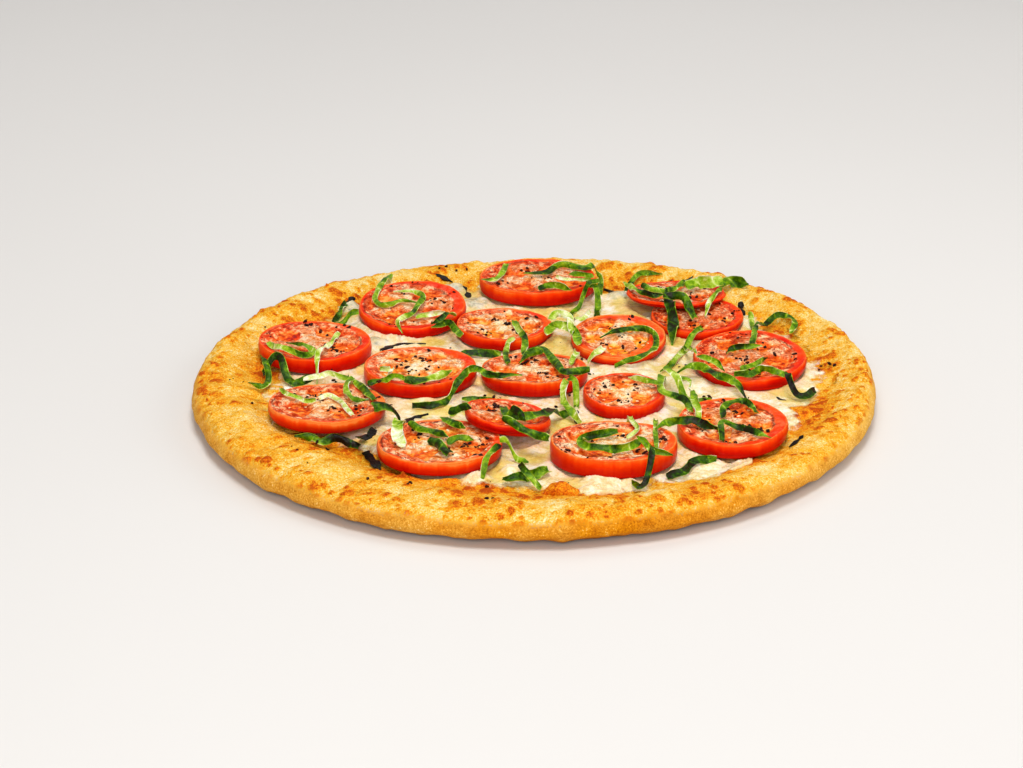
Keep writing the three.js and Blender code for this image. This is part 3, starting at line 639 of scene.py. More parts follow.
def roasted_tomato():
    """A cut tomato slice, roasted: taut glossy red skin round wet flesh that shrank to fine dark wrinkles, a
    pale fibrous core, and jelly, red or golden, in its chambers."""
    material, tree, place = new_material("roasted_tomato")
    marks = ("jelly", "core", "peel", "deep", "streak_and_light", "groove_shade", "ripe", "gold", "ringwise")
    found = [node(tree, "Attribute", attribute_name=mark) for mark in marks]
    jelly, core, peel, deep, streak_and_light, groove_shade, ripe, gold = found[:-1]
    ringwise = found[-1].outputs["Vector"]
    cloud = node(tree, "TexNoise", {"Vector": place, "Scale": per(3.6), "Detail": 3, "Roughness": 0.65})
    thread = node(tree, "TexNoise", {"Vector": ringwise, "Scale": per(1.5), "Detail": 3, "Roughness": 0.7})
    fold = node(tree, "TexNoise", {"Vector": ringwise, "Scale": per(3.0), "Detail": 3, "Distortion": 0.8})
    crack = node(tree, "TexNoise", {"Vector": place, "Scale": per(3.4), "Detail": 3, "Distortion": 1.2})
    woven = node(tree, "Math", {0: thread, 1: 0.65, 2: cloud}, operation="MULTIPLY_ADD")
    fibre = node(tree, "MapRange", {"Value": woven, "From Min": 0.62, "From Max": 1.0})
    pale_stops = [(0.0, "#9c2c08"), (0.2, "#cc4a18"), (0.42, "#f07c44"), (0.6, "#fba672"), (0.8, "#ffe0b4")]
    red_stops = [(0.0, "#801000"), (0.2, "#bc2000"), (0.42, "#e03c0a"), (0.6, "#f06024"), (0.8, "#ffb47c")]
    heart_stops = [(0.0, "#c8641c"), (0.2, "#f09c44"), (0.42, "#fac878"), (0.6, "#ffe4a4"), (0.8, "#fff6d2")]
    red_jelly_stops = [(0.0, "#8c0800"), (0.35, "#cc2404"), (0.65, "#ec480c"), (0.95, "#fa8030")]
    gold_jelly_stops = [(0.0, "#c03c04"), (0.35, "#e66c0c"), (0.65, "#f89c24"), (0.95, "#ffd468")]
    pale_flesh = node(tree, "ValToRGB", {"Fac": fibre}, stops=pale_stops)
    red_flesh = node(tree, "ValToRGB", {"Fac": fibre}, stops=red_stops)
    heart = node(tree, "ValToRGB", {"Fac": fibre}, stops=heart_stops)
    red_jelly = node(tree, "ValToRGB", {"Fac": fibre}, stops=red_jelly_stops)
    gold_jelly = node(tree, "ValToRGB", {"Fac": fibre}, stops=gold_jelly_stops)
    flesh = node(tree, "Mix", {0: ripe, 6: pale_flesh, 7: red_flesh}, data_type="RGBA")
    cored = node(tree, "Mix", {0: core, 6: flesh, 7: heart}, data_type="RGBA")
    gel = node(tree, "Mix", {0: gold, 6: red_jelly, 7: gold_jelly}, data_type="RGBA")
    jellied = node(tree, "Mix", {0: jelly, 6: cored, 7: gel}, data_type="RGBA")
    line_stops = [(0.458, "#000000"), (0.482, "#ffffff"), (0.5, "#ffffff"), (0.524, "#000000")]
    pleat = node(tree, "ValToRGB", {"Fac": fold}, stops=line_stops)
    split = node(tree, "ValToRGB", {"Fac": crack}, stops=line_stops)
    shrunk = node(tree, "Math", {0: split, 1: 0.8, 2: pleat}, operation="MULTIPLY_ADD", use_clamp=True)
    soft = node(tree, "Math", {0: core, 1: 0.8, 2: jelly}, operation="MULTIPLY_ADD", use_clamp=True)
    taut = node(tree, "MapRange", {"Value": soft, "To Min": 0.95, "To Max": 0.1})
    patchy = node(tree, "MapRange", {"Value": cloud, "From Min": 0.38, "From Max": 0.54, "To Max": taut})
    crease = node(tree, "Math", {0: shrunk, 1: patchy}, operation="MULTIPLY")
    creased = node(tree, "Mix", {0: crease, 6: jellied, 7: linear("#8a1a00")}, data_type="RGBA")
    # The skin's colour carries painted light: lighter and more orange up the wall and at the rounded cut
    # edge, with a broad painted sheen.
    shade = node(tree, "Math", {0: cloud, 1: 0.35, 2: streak_and_light}, operation="MULTIPLY_ADD")
    rind_stops = [(0.1, "#ae0200"), (0.4, "#dc1400"), (0.7, "#f43a04"), (0.9, "#fa5c12"), (1.0, "#fc8434")]
    rind = node(tree, "ValToRGB", {"Fac": shade}, stops=rind_stops)
    # Darker red low on the skin: painted shade.
    shaded = node(tree, "Mix", {0: deep, 6: rind, 7: linear("#a80400")}, data_type="RGBA")
    skinned = node(tree, "Mix", {0: peel, 6: creased, 7: shaded}, data_type="RGBA")
    # A painted shadow darkens the groove inside the red band along the rim.
    colour = node(tree, "Mix", {0: groove_shade, 6: skinned, 7: linear("#4a1206")}, data_type="RGBA")
    fleshy = node(tree, "Math", {0: 1.05, 1: peel}, operation="SUBTRACT")
    wrinkled = node(tree, "Math", {0: crease, 1: -0.15, 2: thread}, operation="MULTIPLY_ADD")
    height = node(tree, "Math", {0: wrinkled, 1: fleshy}, operation="MULTIPLY")
    raised = node(tree, "Bump", {"Height": height, "Strength": 1.0, "Distance": 0.3 * MM})
    wet = {"Roughness": 0.28, "IOR": 1.4, "Specular IOR Level": 0.06}
    juice = {"Coat Weight": 0.04, "Coat Roughness": 0.06}
    finish_with(material, {"Base Color": colour, "Normal": raised, **wet, **juice})
    return material


def basil_leaf():
    """Fresh basil, a waxy leaf, so it is satin: deep green on top and paler below, with pale veins and cut
    edges, partly painted highlights, and brown-black where the oven wilted it."""
    material, tree, place = new_material("basil_leaf")
    marks = ("tone", "vein_and_highlight")
    tone, vein_and_highlight = (node(tree, "Attribute", attribute_name=mark) for mark in marks)
    mottle = node(tree, "TexNoise", {"Vector": place, "Scale": per(2.2), "Detail": 4, "Roughness": 0.7})
    # Veins and cut edges lift the green towards pale: partly their own colour, partly painted highlight.
    lifted = node(tree, "Math", {0: vein_and_highlight, 1: 0.42, 2: tone}, operation="MULTIPLY_ADD")
    mottled = node(tree, "Math", {0: mottle, 1: 0.75, 2: lifted}, operation="MULTIPLY_ADD")
    lush = node(tree, "MapRange", {"Value": mottled, "From Min": 0.43, "From Max": 1.32})
    green_stops = [
        (0.0, "#120806"),
        (0.12, "#20180a"),
        (0.24, "#183400"),
        (0.38, "#3c6400"),
        (0.52, "#6a9200"),
        (0.66, "#9cba20"),
        (0.82, "#d2de80"),
        (1.0, "#fafae0"),
    ]
    green = node(tree, "ValToRGB", {"Fac": lush}, stops=green_stops)
    height = node(tree, "Math", {0: vein_and_highlight, 1: 0.8, 2: mottle}, operation="MULTIPLY_ADD")
    raised = node(tree, "Bump", {"Height": height, "Strength": 1.0, "Distance": 0.35 * MM})
    waxy = {"Roughness": 0.3, "IOR": 1.45, "Specular IOR Level": 0.16}
    finish_with(material, {"Base Color": green, "Normal": raised, **waxy})
    return material


def cracked_pepper():
    """Cracked black pepper: dry wrinkled husk, nearly black, with a few brown faces."""
    material, tree, place = new_material("cracked_pepper")
    patch = node(tree, "TexNoise", {"Vector": place, "Scale": per(0.9), "Detail": 2})
    husk_stops = [(0.42, "#120504"), (0.55, "#32100a"), (0.7, "#6a3018")]
    husk = node(tree, "ValToRGB", {"Fac": patch}, stops=husk_stops)
    finish_with(material, {"Base Color": husk, "Roughness": 0.75, "IOR": 1.5, "Specular IOR Level": 0.15})
    return material


def tomato_seed():
    """Tomato seeds: flat cream hulls, wet with jelly."""
    material, tree, place = new_material("tomato_seed")
    patch = node(tree, "TexNoise", {"Vector": place, "Scale": per(1.2), "Detail": 2})
    hull_stops = [(0.35, "#ee9c50"), (0.5, "#f8c888"), (0.65, "#fde8bc")]
    hull = node(tree, "ValToRGB", {"Fac": patch}, stops=hull_stops)
    finish_with(material, {"Base Color": hull, "Roughness": 0.25, "IOR": 1.4})
    return material


def painted_table():
    """A plain matt painted table."""
    material, tree, place = new_material("painted_table")
    patch = node(tree, "TexNoise", {"Vector": place, "Scale": per(400), "Detail": 1})
    paint = node(tree, "ValToRGB", {"Fac": patch}, stops=[(0.3, "#dcd9d6"), (0.7, "#dfdcd9")])
    finish_with(material, {"Base Color": paint, "Roughness": 0.7, "IOR": 1.45, "Specular IOR Level": 0.2})
    return material


# ---------------------------------------------------------------- crust
CRUST_STEPS = 940
UNDER_WAY = 9  # way from the foot up to the widest line
FLOOR_WAY = 60  # way over the rim at which the floor under the cheese is counted
SUNK = 0.15  # how far the crumbs are set into the solid's own surface
INNER_TOAST = 0.34  # extra toast where the rim runs in under the cheese
TOASTED_AND_SHADED_SIDES = [(-177, 0.14), (-48, 0.1)]  # azimuths of the rim darkened by more toast and by painted shade, and their extra toast
LIT_SIDE_AZIMUTH = 15  # azimuths of the wall that painted light makes paler, the first fully and the second in part
LESS_LIT_SIDE_AZIMUTH = 190


def crust():
    """The baked base, row by row from the middle of its underside out to the wall, over the rim and in under
    the cheese. Relief pushes the wall outwards and the top upwards."""
    a = np.arange(CRUST_STEPS) * FULL_TURN / CRUST_STEPS
    edge, q = outline(a), border(a)
    along = a * RADIUS
    # Each row: radius, height, shares of the relief that go outwards and upwards, way over the rim, how much
    # it is wall, and how far in it is from the shoulder to the cheese.
    rows = []
    for share in (0.3, 0.6, 0.85):  # the flat underside
        rows.append((share * (edge - FOOT_INSET), 0 * a, 0, 0, 0, 1, 0))
    for k in np.linspace(0, 1, 13):  # up to the widest line
        phi = k * np.pi / 2
        r = edge - FOOT_INSET * (1 - np.sin(phi)) ** 0.7
        z = WAIST * (1 - np.cos(phi)) + 0 * a
        rows.append((r, z, np.sin(phi), -0.6 * np.cos(phi), -UNDER_WAY * (1 - k), 1, 0))
    for k in np.linspace(0, 1, 32)[1:]:  # round over the shoulder
        phi = k * np.pi / 2
        r = edge - SHOULDER * (1 - np.cos(phi))
        rows.append((r, crust_top(r, a), np.cos(phi), np.sin(phi), RIM_WAY * k, 1 - smooth(0.25, 0.6, k), 0))
    for k in np.linspace(0, 1, 48)[1:]:  # over the rim and down its inner slope
        r = mix(edge - SHOULDER, q + RIM_FOOT, k)
        rows.append((r, crust_top(r, a), 0, 1, RIM_WAY + RIM_WIDE * k, 0, k))
    for share in (0.8, 0.4):  # the floor under the cheese
        rows.append(((q + RIM_FOOT) * share, FLOOR + 0 * a, 0, 0, FLOOR_WAY, 0, 1))

    points, marks = [], {"toast": [], "heap": [], "wall": [], "painted_side_light": [], "scorch_and_contact_shade": []}
    # Painted light: the wall is paler on the sides that the lamps light, broken up by random lumps.
    painted_lit_side = smooth(-0.1, 1, np.cos(a - LIT_SIDE_AZIMUTH * RAD))
    painted_lit_side = painted_lit_side + 0.6 * smooth(-0.3, 1, np.cos(a - LESS_LIT_SIDE_AZIMUTH * RAD))
    # More toast on these sides; on the left it also stands in for painted shade on the side away from the
    # lamps.
    toast_and_shade = sum(extra * smooth(0.7, 0.97, np.cos(a - azimuth * RAD)) for azimuth, extra in TOASTED_AND_SHADED_SIDES)
    for r, z, out, up, s, wall, inner in rows:
        relieved = out != 0 or up != 0
        s = s + 0 * a
        rough, toast, heap, swell, lumps, bumps = crumbs(along, s)
        face = 0.35 * swell + 0.25 * lumps + 0.12 * bumps
        face = face + smooth(WAIST, 1, z) * (0.7 * lumps + 0.35 * bumps)
        lift = relieved * mix(rough, face, wall) - SUNK
        r = r + out * lift
        points.append(np.stack([r * np.cos(a), r * np.sin(a), np.maximum(z + up * lift, 0)], -1))
        marks["toast"].append(toast + toast_and_shade + INNER_TOAST * smooth(0.2, 0.8, inner))
        marks["heap"].append(heap * smooth(6, 13, s))
        marks["wall"].append(np.clip(wall + 0.12 * bumps * (wall > 0) * (wall < 1), 0, 1))
        marks["painted_side_light"].append(np.clip(painted_lit_side + 0.25 * lumps, 0, 1))
        # A dark band at the foot: a browned edge, with painted contact shade.
        marks["scorch_and_contact_shade"].append(smooth(2.4, 0.6, z) * (0.7 + 0.4 * lumps) * (s < 1))
    points = np.vstack([np.concatenate(points), [[0, 0, 0], [0, 0, FLOOR]]])
    faces = closed_faces(len(rows), CRUST_STEPS)
    marks = {key: np.append(np.concatenate(values), [0, 0]) for key, values in marks.items()}
    return mesh_piece("crust_baked", points, faces, baked_dough(), ["crust"], marks)


# ---------------------------------------------------------------- cheese
CHEESE_STEPS = 640
CHEESE_RINGS = 72  # out to where it nears the rim
EDGE_RINGS = 58  # from there to its edge, closer together
EDGE_SHARE = 0.8  # of the way out, where they meet
CHEESE_REACH = 100  # rough radius, for the way round its edge
FILLET = 0.8  # how softly the level cheese turns up the rim
# Puffed spots of cheese: x, y, radius, height, toast, grey.
PUFFS = [
    (9, -97, 6.5, 4.2, 0.55, 0), (-7, -99, 5, 1, 0.6, 0), (99, -29, 6, 1.4, 0.6, 0),
    (-8, -82, 5, 2.2, 0, 0), (-20, -87, 5, 1.4, 0, 0), (22, -95, 10, 2.4, 0, 0), (34, -93, 6, 2, 0, 0),
    (71, -79, 7, 1.3, 0, 0), (91, -40, 6, 1.4, 0, 0), (-72, 69, 6, 2.2, 0, 0.7), (-31, 90, 6, 1.6, 0, 0.5),
    (-22, 96, 5, 1.8, 0.2, 0.5), (-24, 75, 8, 1.6, 0, 0.6), (-60, 34, 5, 1.2, 0, 0.6),
    (36, 84, 6, 1.6, 0, 0.6), (57, -36, 5, 1.0, 0, 0.7), (-47, -84, 6, 1.4, 0.2, 0),
    (-96, -47, 6, 1.0, 0.25, 0), (50, 88, 5, 1.0, 0.3, 0), (-60, -82, 5, 0.9, 0, 0.4),
    (60, -6, 6, 1.0, 0, 0.2), (-20, 62, 6, 1.2, 0, 0.35), (-58, -27, 5, 1.0, 0, 0.2),
    (48, 62, 5, 1.0, 0, 0.5), (-97, -10, 5, 1.0, 0.35, 0),
]


def puff_marks(x, y):
    """Height, toast and greyness of the puffed spots at a place."""
    high, toast, grey = 0 * x, 0 * x, 0 * x
    for px, py, wide, tall, toasted, greyed in PUFFS:
        near = np.clip(np.hypot(x - px, (y - py) * 1.15) / wide + 0.2 * noise(x, y, 3, 21), 0, 1)
        dome = 1 - near * near
        high = np.maximum(high, tall * dome)
        toast = np.maximum(toast, toasted * smooth(0, 0.6, dome))
        grey = np.maximum(grey, greyed * smooth(0, 0.5, dome))
    return high, toast, grey


def slice_distance(x, y):
    """Rough distance in mm from the rim of the nearest slice, below 0 under it."""
    far = np.full(np.shape(x), 99.0)
    for cx, cy, rx, ry, *_ in SLICES:
        far = np.minimum(far, (np.hypot((x - cx) / rx, (y - cy) / ry) - 1) * (rx + ry) / 2)
    return far


def cheese():
    """The melted cheese, ring by ring from its middle to its ragged edge, then back in below. It climbs the
    slices that stand in it, and thins out into the rim's crumbs."""
    a = np.arange(CHEESE_STEPS) * FULL_TURN / CHEESE_STEPS
    arc = a * CHEESE_REACH
    turn = FULL_TURN * CHEESE_REACH
    ragged = cheese_edge(a) + 2.2 * noise(arc, 0 * a, 9, 11, turn) + 1.3 * noise(arc, 0 * a, 3.6, 12, turn)
    shares = [*np.linspace(0.03, EDGE_SHARE, CHEESE_RINGS), *np.linspace(EDGE_SHARE, 1, EDGE_RINGS + 1)[1:]]
    points, marks = [], {"toast": [], "heap": [], "rim": [], "grey": [], "juice": [], "oil": []}
    for share in shares:
        r = ragged * share
        x, y = r * np.cos(a), r * np.sin(a)
        pool = pool_top(x, y)
        under = crust_top(r, a)
        z = pool + FILLET * np.logaddexp(0, (under + CHEESE_SKIN - pool) / FILLET)
        z = mix(z, under - 0.1, smooth(0.9, 1, share))
        rough, crumb_toast, heap, *_ = crumbs(a * RADIUS, rim_way(r, a))
        wave = 0.45 * noise(x, y, 8, 13) + 0.35 * noise(x, y, 3.4, 14) + 0.14 * noise(x, y, 1.6, 15)
        high, toasted, greyed = puff_marks(x, y)
        toasted = toasted * np.clip(0.9 + 0.8 * noise(x, y, 2.6, 22), 0.2, 1.2)
        gap = slice_distance(x, y)
        climb = np.exp(-np.maximum(gap, 0) / 1.6) * (1.1 + 0.8 * noise(x, y, 5, 19)) * smooth(-1.5, 0, gap)
        ridge = smooth(0.88, 0.97, share)
        z = z + mix(wave, rough - SUNK, ridge) + high * (gap > -1) + climb
        points.append(np.stack([x, y, z], -1))
        rim = smooth(0.88, 0.985, share + 0.035 * noise(x, y, 9, 16) + 0.02 * noise(x, y, 3, 17))
        rim = rim * (1 - 0.95 * smooth(0.3, 0.8, high) * (toasted < 0.1))
        marks["toast"].append(crumb_toast + INNER_TOAST * (1 - toasted) + 0.5 * toasted)
        marks["heap"].append(heap)
        marks["rim"].append(np.clip(rim + 1.2 * toasted, 0, 1))
        marks["grey"].append(np.clip(greyed * (0.8 + 0.6 * noise(x, y, 2, 18)), 0, 1))
        clean = 1 - smooth(0.4, 1.5, high)
        damp = 0.5 * np.exp(-np.maximum(gap, 0) / 1.2) * (0.5 + 0.9 * noise(x, y, 6, 23))
        marks["juice"].append(np.clip(damp * clean, 0, 1))
        marks["oil"].append(clean * smooth(0, 0.4, noise(x, y, 13, 24) + 0.4 * noise(x, y, 4, 25)))
    for inset, drop in ((-0.2, 0.6), (6, 0.3)):  # its edge sinks into the dough, and turns in below
        r = ragged - inset
        points.append(np.stack([r * np.cos(a), r * np.sin(a), crust_top(r, a) - drop], -1))
        for values in marks.values():
            values.append(values[-1])
    faces = [side[::-1] for side in closed_faces(len(points), CHEESE_STEPS)]
    points = np.vstack([np.concatenate(points), [[0, 0, CHEESE], [0, 0, FLOOR + 0.1]]])
    marks = {key: np.append(np.concatenate(values), [0, 0]) for key, values in marks.items()}
    return mesh_piece("cheese_melted", points, faces, melted_mozzarella(), ["cheese"], marks)


# ---------------------------------------------------------------- tomato slices
SLICE_STEPS = 150
SLICE_REACH = 20  # rough radius, for the way round its skin
BEVEL = 0.35  # rounding of the skin's cut edge
SEEDS_TRIED = 18  # places tried for seeds on a slice, which stay where there is jelly
STRAY_FLAKES = 8  # flakes of pepper outside a slice's pinches
FACE_SEED = 300
SKIN_SEED = 400
SEASONING_SEED = 700
DRUM = 7  # radius of the drum on which patterns run outwards along the rays of a slice
BROAD_SIDE = -20 * RAD  # azimuth at which the smooth red band along the rim is widest


def seat_slices():
    """Lays each slice on what is there, as the part does, and gives the height of each."""
    global laid
    seats = [0] * len(SLICES)
    for number in sorted(range(len(SLICES)), key=lambda n: n != LAID_FIRST):
        cx, cy, rx, ry, tilt_x, tilt_y, thick = SLICES[number]
        covered = np.hypot((grid_x - cx) / (rx + GAP), (grid_y - cy) / (ry + GAP)) <= 1
        tilt = tilt_x * (grid_x - cx) + tilt_y * (grid_y - cy)
        seat = (laid[covered] + GAP - tilt[covered]).max()
        laid = np.where(covered, np.maximum(laid, seat + thick + tilt), laid)
        seats[number] = seat
    return seats


class Slice:
    """One tomato slice: its outline, and the relief and marks of its cut face."""

    def __init__(self, number, seat):
        self.number = number
        self.seat = seat
        self.cx, self.cy, self.rx, self.ry, self.tilt_x, self.tilt_y, self.thick = SLICES[number]
        draw = random_stream(SLICE_SEED + number)
        self.turn = next(draw) * FULL_TURN
        self.lobes = 3 + int(next(draw) * 3)

    def radius(self, a):
        """Radius of its skin at an azimuth: an ellipse with shallow flats."""
        even = 1 / np.hypot(np.cos(a) / self.rx, np.sin(a) / self.ry)
        flats = 0.008 * (1 + np.cos(3 * a + self.turn)) + 0.006 * (1 + np.cos(5 * a - 2 * self.turn))
        return even * (1 - flats)

    def height(self, x, y):
        """Height of its tilted underside."""
        return self.seat + self.tilt_x * (x - self.cx) + self.tilt_y * (y - self.cy)

    def face(self, x, y, share, a):
        """Height over the cut plane, jelly and core: jelly sits in chambers between walls of flesh."""
        seed = FACE_SEED + self.number
        bend = noise(x, y, 8, seed)
        wave = 0.5 + 0.5 * np.cos(self.lobes * (a + 0.22 * bend) + self.turn)
        reach = share + 0.08 * noise(x, y, 5, seed + 100)
        window = smooth(0.24, 0.36, reach) * smooth(0.84, 0.72, reach)
        jelly = window * smooth(0.4, 0.47, wave + 0.3 * noise(x, y, 3.2, seed + 150))
        core = 0.85 * smooth(0.42, 0.2, reach + 0.1 * bend) + 0.5 * window * (1 - jelly)
        core = core * (1.3 - RIPENESS[self.number])
        wrinkle = 0.3 * noise(x, y, 3.4, seed + 200) + 0.25 * noise(x, y, 1.5, seed + 250)
        lip = 0.08 * smooth(0.84, 0.93, share) - 0.25 * smooth(0.4, 0.8, share) * smooth(0.9, 0.8, share)
        sag = -0.25 * smooth(0.9, 0.2, share)
        rise = wrinkle * smooth(0.995, 0.88, share) + lip + sag - CHAMBER_DEPTH * jelly
        return rise, jelly, np.clip(core, 0, 1)

    def on_top(self, share, a):
        """Place on its cut face, and how much jelly is there."""
        r = self.radius(a) * share
        x, y = self.cx + r * np.cos(a), self.cy + r * np.sin(a)
        rise, jelly, _ = self.face(x, y, share, a)
        return x, y, self.height(x, y) + self.thick + rise, jelly

    def build(self, flesh):
        """Its mesh, ring by ring from the middle of the underside, up the skin and in over the cut face."""
        a = np.arange(SLICE_STEPS) * FULL_TURN / SLICE_STEPS
        full = self.radius(a)
        seed = SKIN_SEED + self.number
        keys = ("jelly", "core", "peel", "deep", "streak_and_light", "groove_shade", "ringwise")
        points, marks = [], {key: [] for key in keys}

        def skin(size, seed, down=0):
            """Soft lumps along the way round the skin."""
            return noise(a * SLICE_REACH, down + 0 * a, size, seed, FULL_TURN * SLICE_REACH)

        def ring(r, z, jelly=0, core=0, peel=1, deep=0, streak_and_light=0.3, groove_shade=0):
            """Adds points at a radius and a height over the underside, with their marks."""
            sway = 0.3 * skin(14, seed) * (z > 1.2) * (np.max(r) > 8)
            x, y = self.cx + (r - 0.2 + sway) * np.cos(a), self.cy + (r - 0.2 + sway) * np.sin(a)
            points.append(np.stack([x, y, self.height(x, y) + z], -1))
            for key, value in zip(marks, (jelly, core, peel, deep, streak_and_light, groove_shade)):
                marks[key].append(value + 0 * a)
            way = r + 30 * self.number
            marks["ringwise"].append(np.stack([DRUM * np.cos(a), DRUM * np.sin(a), way + 0 * a], -1) * MM)

        # The skin's tint, fine streaks and broad painted sheen, its wavy cut edge, and where along the rim a
        # painted shadow darkens the groove inside the red band.
        glow = 0.4 * GLOW[self.number] - 0.2
        stripe = skin(1, seed + 50)
        sheen = skin(11, seed + 60)
        wavy = 0.45 * skin(13, seed + 70) + 0.2 * skin(4, seed + 72)
        toast_and_groove_shade = smooth(0.15, 0.5, skin(15, seed + 75))
        # Low on the skin the colour is marked darker red, as painted shade; higher up it is marked lighter,
        # as painted light.
        for share in (0.35, 0.7, 0.9):  # the underside
            ring(full * share - 0.4, -0.05, deep=1)
        for k in np.linspace(0, 1, 5):  # the skin's tuck
            phi = k * np.pi / 2
            ring(full - TUCK * (1 - np.sin(phi)), TUCK * (1 - np.cos(phi)), deep=1 - 0.4 * k)
        for k in np.linspace(0, 1, 9)[1:]:  # the skin
            bulge = 0.25 * np.sin(k * np.pi)
            pores = 0.05 * skin(1.6, seed + 80, 9 * k)
            lit = glow + 0.24 + 0.4 * k**2 + 0.1 * stripe + 0.25 * sheen
            z = mix(TUCK, self.thick - BEVEL + wavy, k)
            ring(full + bulge + pores, z, deep=0.7 * (1 - k) ** 1.5, streak_and_light=lit)
        for k in np.linspace(0, 1, 6)[1:]:  # its rounded cut edge
            phi = k * np.pi / 2
            inset, rise = BEVEL * (1 - np.cos(phi)), BEVEL * np.sin(phi)
            # The rounded cut edge is marked lightest: a painted highlight.
            lit = glow + 0.62 + 0.2 * k + 0.08 * stripe
            ring(full - inset, self.thick - BEVEL + wavy + rise + 0.35 * k, peel=1 - 0.15 * k, streak_and_light=lit)
        for share in np.linspace(0.985, 0.03, 52):  # the cut face
            r = (full - BEVEL) * share
            x, y = self.cx + r * np.cos(a), self.cy + r * np.sin(a)
            rise, jelly, core = self.face(x, y, share, a)
            edge = share + 0.03 * noise(x, y, 4, seed + 90) + 0.015 * noise(x, y, 1.6, seed + 91)
            inner = 1 - BANDS[self.number] * (1 + 0.7 * np.cos(a - BROAD_SIDE)) / self.rx
            # A painted shadow in the shallow groove just inside the red band, where that edge is marked.
            groove_shade = 0.85 * toast_and_groove_shade * np.exp(-(((edge - inner + 0.03) / 0.014) ** 2))
            peel = 0.9 * smooth(inner - 0.03, inner + 0.02, edge)
            lit = glow + 0.55 + 0.25 * noise(x, y, 6, seed + 93) + 0.2 * smooth(0.975, 0.99, share)
            z = self.thick + rise + wavy * share**3 - 0.3 * groove_shade
            ring(r, z, jelly, core, peel, streak_and_light=lit, groove_shade=groove_shade)
        faces = closed_faces(len(points), SLICE_STEPS)
        middles = [[self.cx, self.cy, self.seat], points[-1].mean(0)]
        points = np.vstack([np.concatenate(points), middles])
        marks = {key: np.concatenate([*value, value[0][:1], value[-1][:1]]) for key, value in marks.items()}
        patch = 0.25 * noise(points[:, 0], points[:, 1], 9, seed + 95)
        marks["ripe"] = np.clip(RIPENESS[self.number] + patch, 0, 1)
        marks["gold"] = np.clip(GOLD[self.number] + patch, 0, 1)
        number = f"{self.number + 1:02d}"
        mesh_piece(f"slice_{number}", points, faces, flesh, [f"tomato_{number}"], marks)

    def season(self, seeds, pepper):
        """Finds places for seeds in the jelly, pinches of pepper and some stray flakes."""
        rng = np.random.default_rng(SEASONING_SEED + self.number)
        for _ in range(SEEDS_TRIED):
            x, y, z, jelly = self.on_top(rng.uniform(0.32, 0.76), rng.uniform(0, FULL_TURN))
            if jelly > 0.6:
                turn, tip = rng.uniform(0, FULL_TURN), rng.uniform(-0.25, 0.25)
                seeds.append((x, y, z - 0.05, turn, tip, rng.uniform(0.5, 0.8)))
        for share, azimuth, flakes in PINCHES[self.number]:
            for _ in range(flakes + 1):
                far = np.clip(share + rng.normal(0, 0.075), 0.02, 0.94)
                x, y, z, _ = self.on_top(far, azimuth * RAD + rng.normal(0, 0.075) / max(share, 0.25))
                pepper.append((x, y, z + 0.1, *pepper_turn(rng)))
        for _ in range(STRAY_FLAKES):
            x, y, z, _ = self.on_top(np.sqrt(rng.uniform(0, 0.88)), rng.uniform(0, FULL_TURN))
            pepper.append((x, y, z + 0.1, *pepper_turn(rng)))


def pepper_turn(rng):
    """A flake's turn, tip and size: mostly grit, some quarter corns."""
    return rng.uniform(0, FULL_TURN), rng.uniform(-0.6, 0.6), 0.45 + 0.95 * rng.uniform(0, 1) ** 1.6


# ---------------------------------------------------------------- basil
ACROSS = np.array([-1, -0.84, -0.55, -0.2, 0.2, 0.55, 0.84, 1])  # points across a shred
LEAF_SHOWN = 0.34  # its thickness, a little under the solid's
LEAF_STEP = 0.6  # length of one step of its mesh
VEIN = 0.3  # half width of a vein
PALEST = 0.84  # tone of the palest leaf
BASIL_SEED = 900
WILTED = 0.1  # shreds of a lower tone are wilted
BLUNT, POINTED = 0.75, 0.2  # share of its width that a shred's end keeps


def catmull(path, per_span=40):
    """A centripetal Catmull-Rom curve through the path, and the distance along it."""
    p = [np.array(q, float) for q in path]
    p = [2 * p[0] - p[1], *p, 2 * p[-1] - p[-2]]
    found = []
    for p0, p1, p2, p3 in zip(p, p[1:], p[2:], p[3:]):
        d0, d1, d2 = (max(np.linalg.norm(v) ** 0.5, 1e-4) for v in (p1 - p0, p2 - p1, p3 - p2))
        t1 = ((p1 - p0) / d0 - (p2 - p0) / (d0 + d1) + (p2 - p1) / d1) * d1
        t2 = ((p2 - p1) / d1 - (p3 - p1) / (d1 + d2) + (p3 - p2) / d2) * d1
        t = np.linspace(0, 1, per_span, endpoint=False)[:, None]
        square, cube = -3 * p1 + 3 * p2 - 2 * t1 - t2, 2 * p1 - 2 * p2 + t1 + t2
        found.append(p1 + t1 * t + square * t**2 + cube * t**3)
    found.append(p[-2][None, :])
    line = np.concatenate(found)
    gone = np.concatenate([[0], np.cumsum(np.linalg.norm(np.diff(line, axis=0), axis=1))])
    return line, gone


def shred_frame(line, gone, t, width, lean, taper=TAPER):
    """Middle, width direction, facing direction and half width at shares t of the way along."""
    s = np.asarray(t) * gone[-1]
    step = 0.3
    x, y = np.interp(s, gone, line[:, 0]), np.interp(s, gone, line[:, 1])
    dx = np.interp(s + step, gone, line[:, 0]) - np.interp(s - step, gone, line[:, 0])
    dy = np.interp(s + step, gone, line[:, 1]) - np.interp(s - step, gone, line[:, 1])
    size = np.maximum(np.hypot(dx, dy), 1e-6)
    dx, dy = dx / size, dy / size
    angle = lean * RAD * dx
    side = np.stack([-dy * np.cos(angle), dx * np.cos(angle), np.sin(angle)], -1)
    face = np.stack([dy * np.sin(angle), -dx * np.sin(angle), np.cos(angle)], -1)
    half = (width / 2) * mix(taper[0], 1, smooth(0, taper[1], np.minimum(t, 1 - np.asarray(t))))
    return x, y, side, face, half


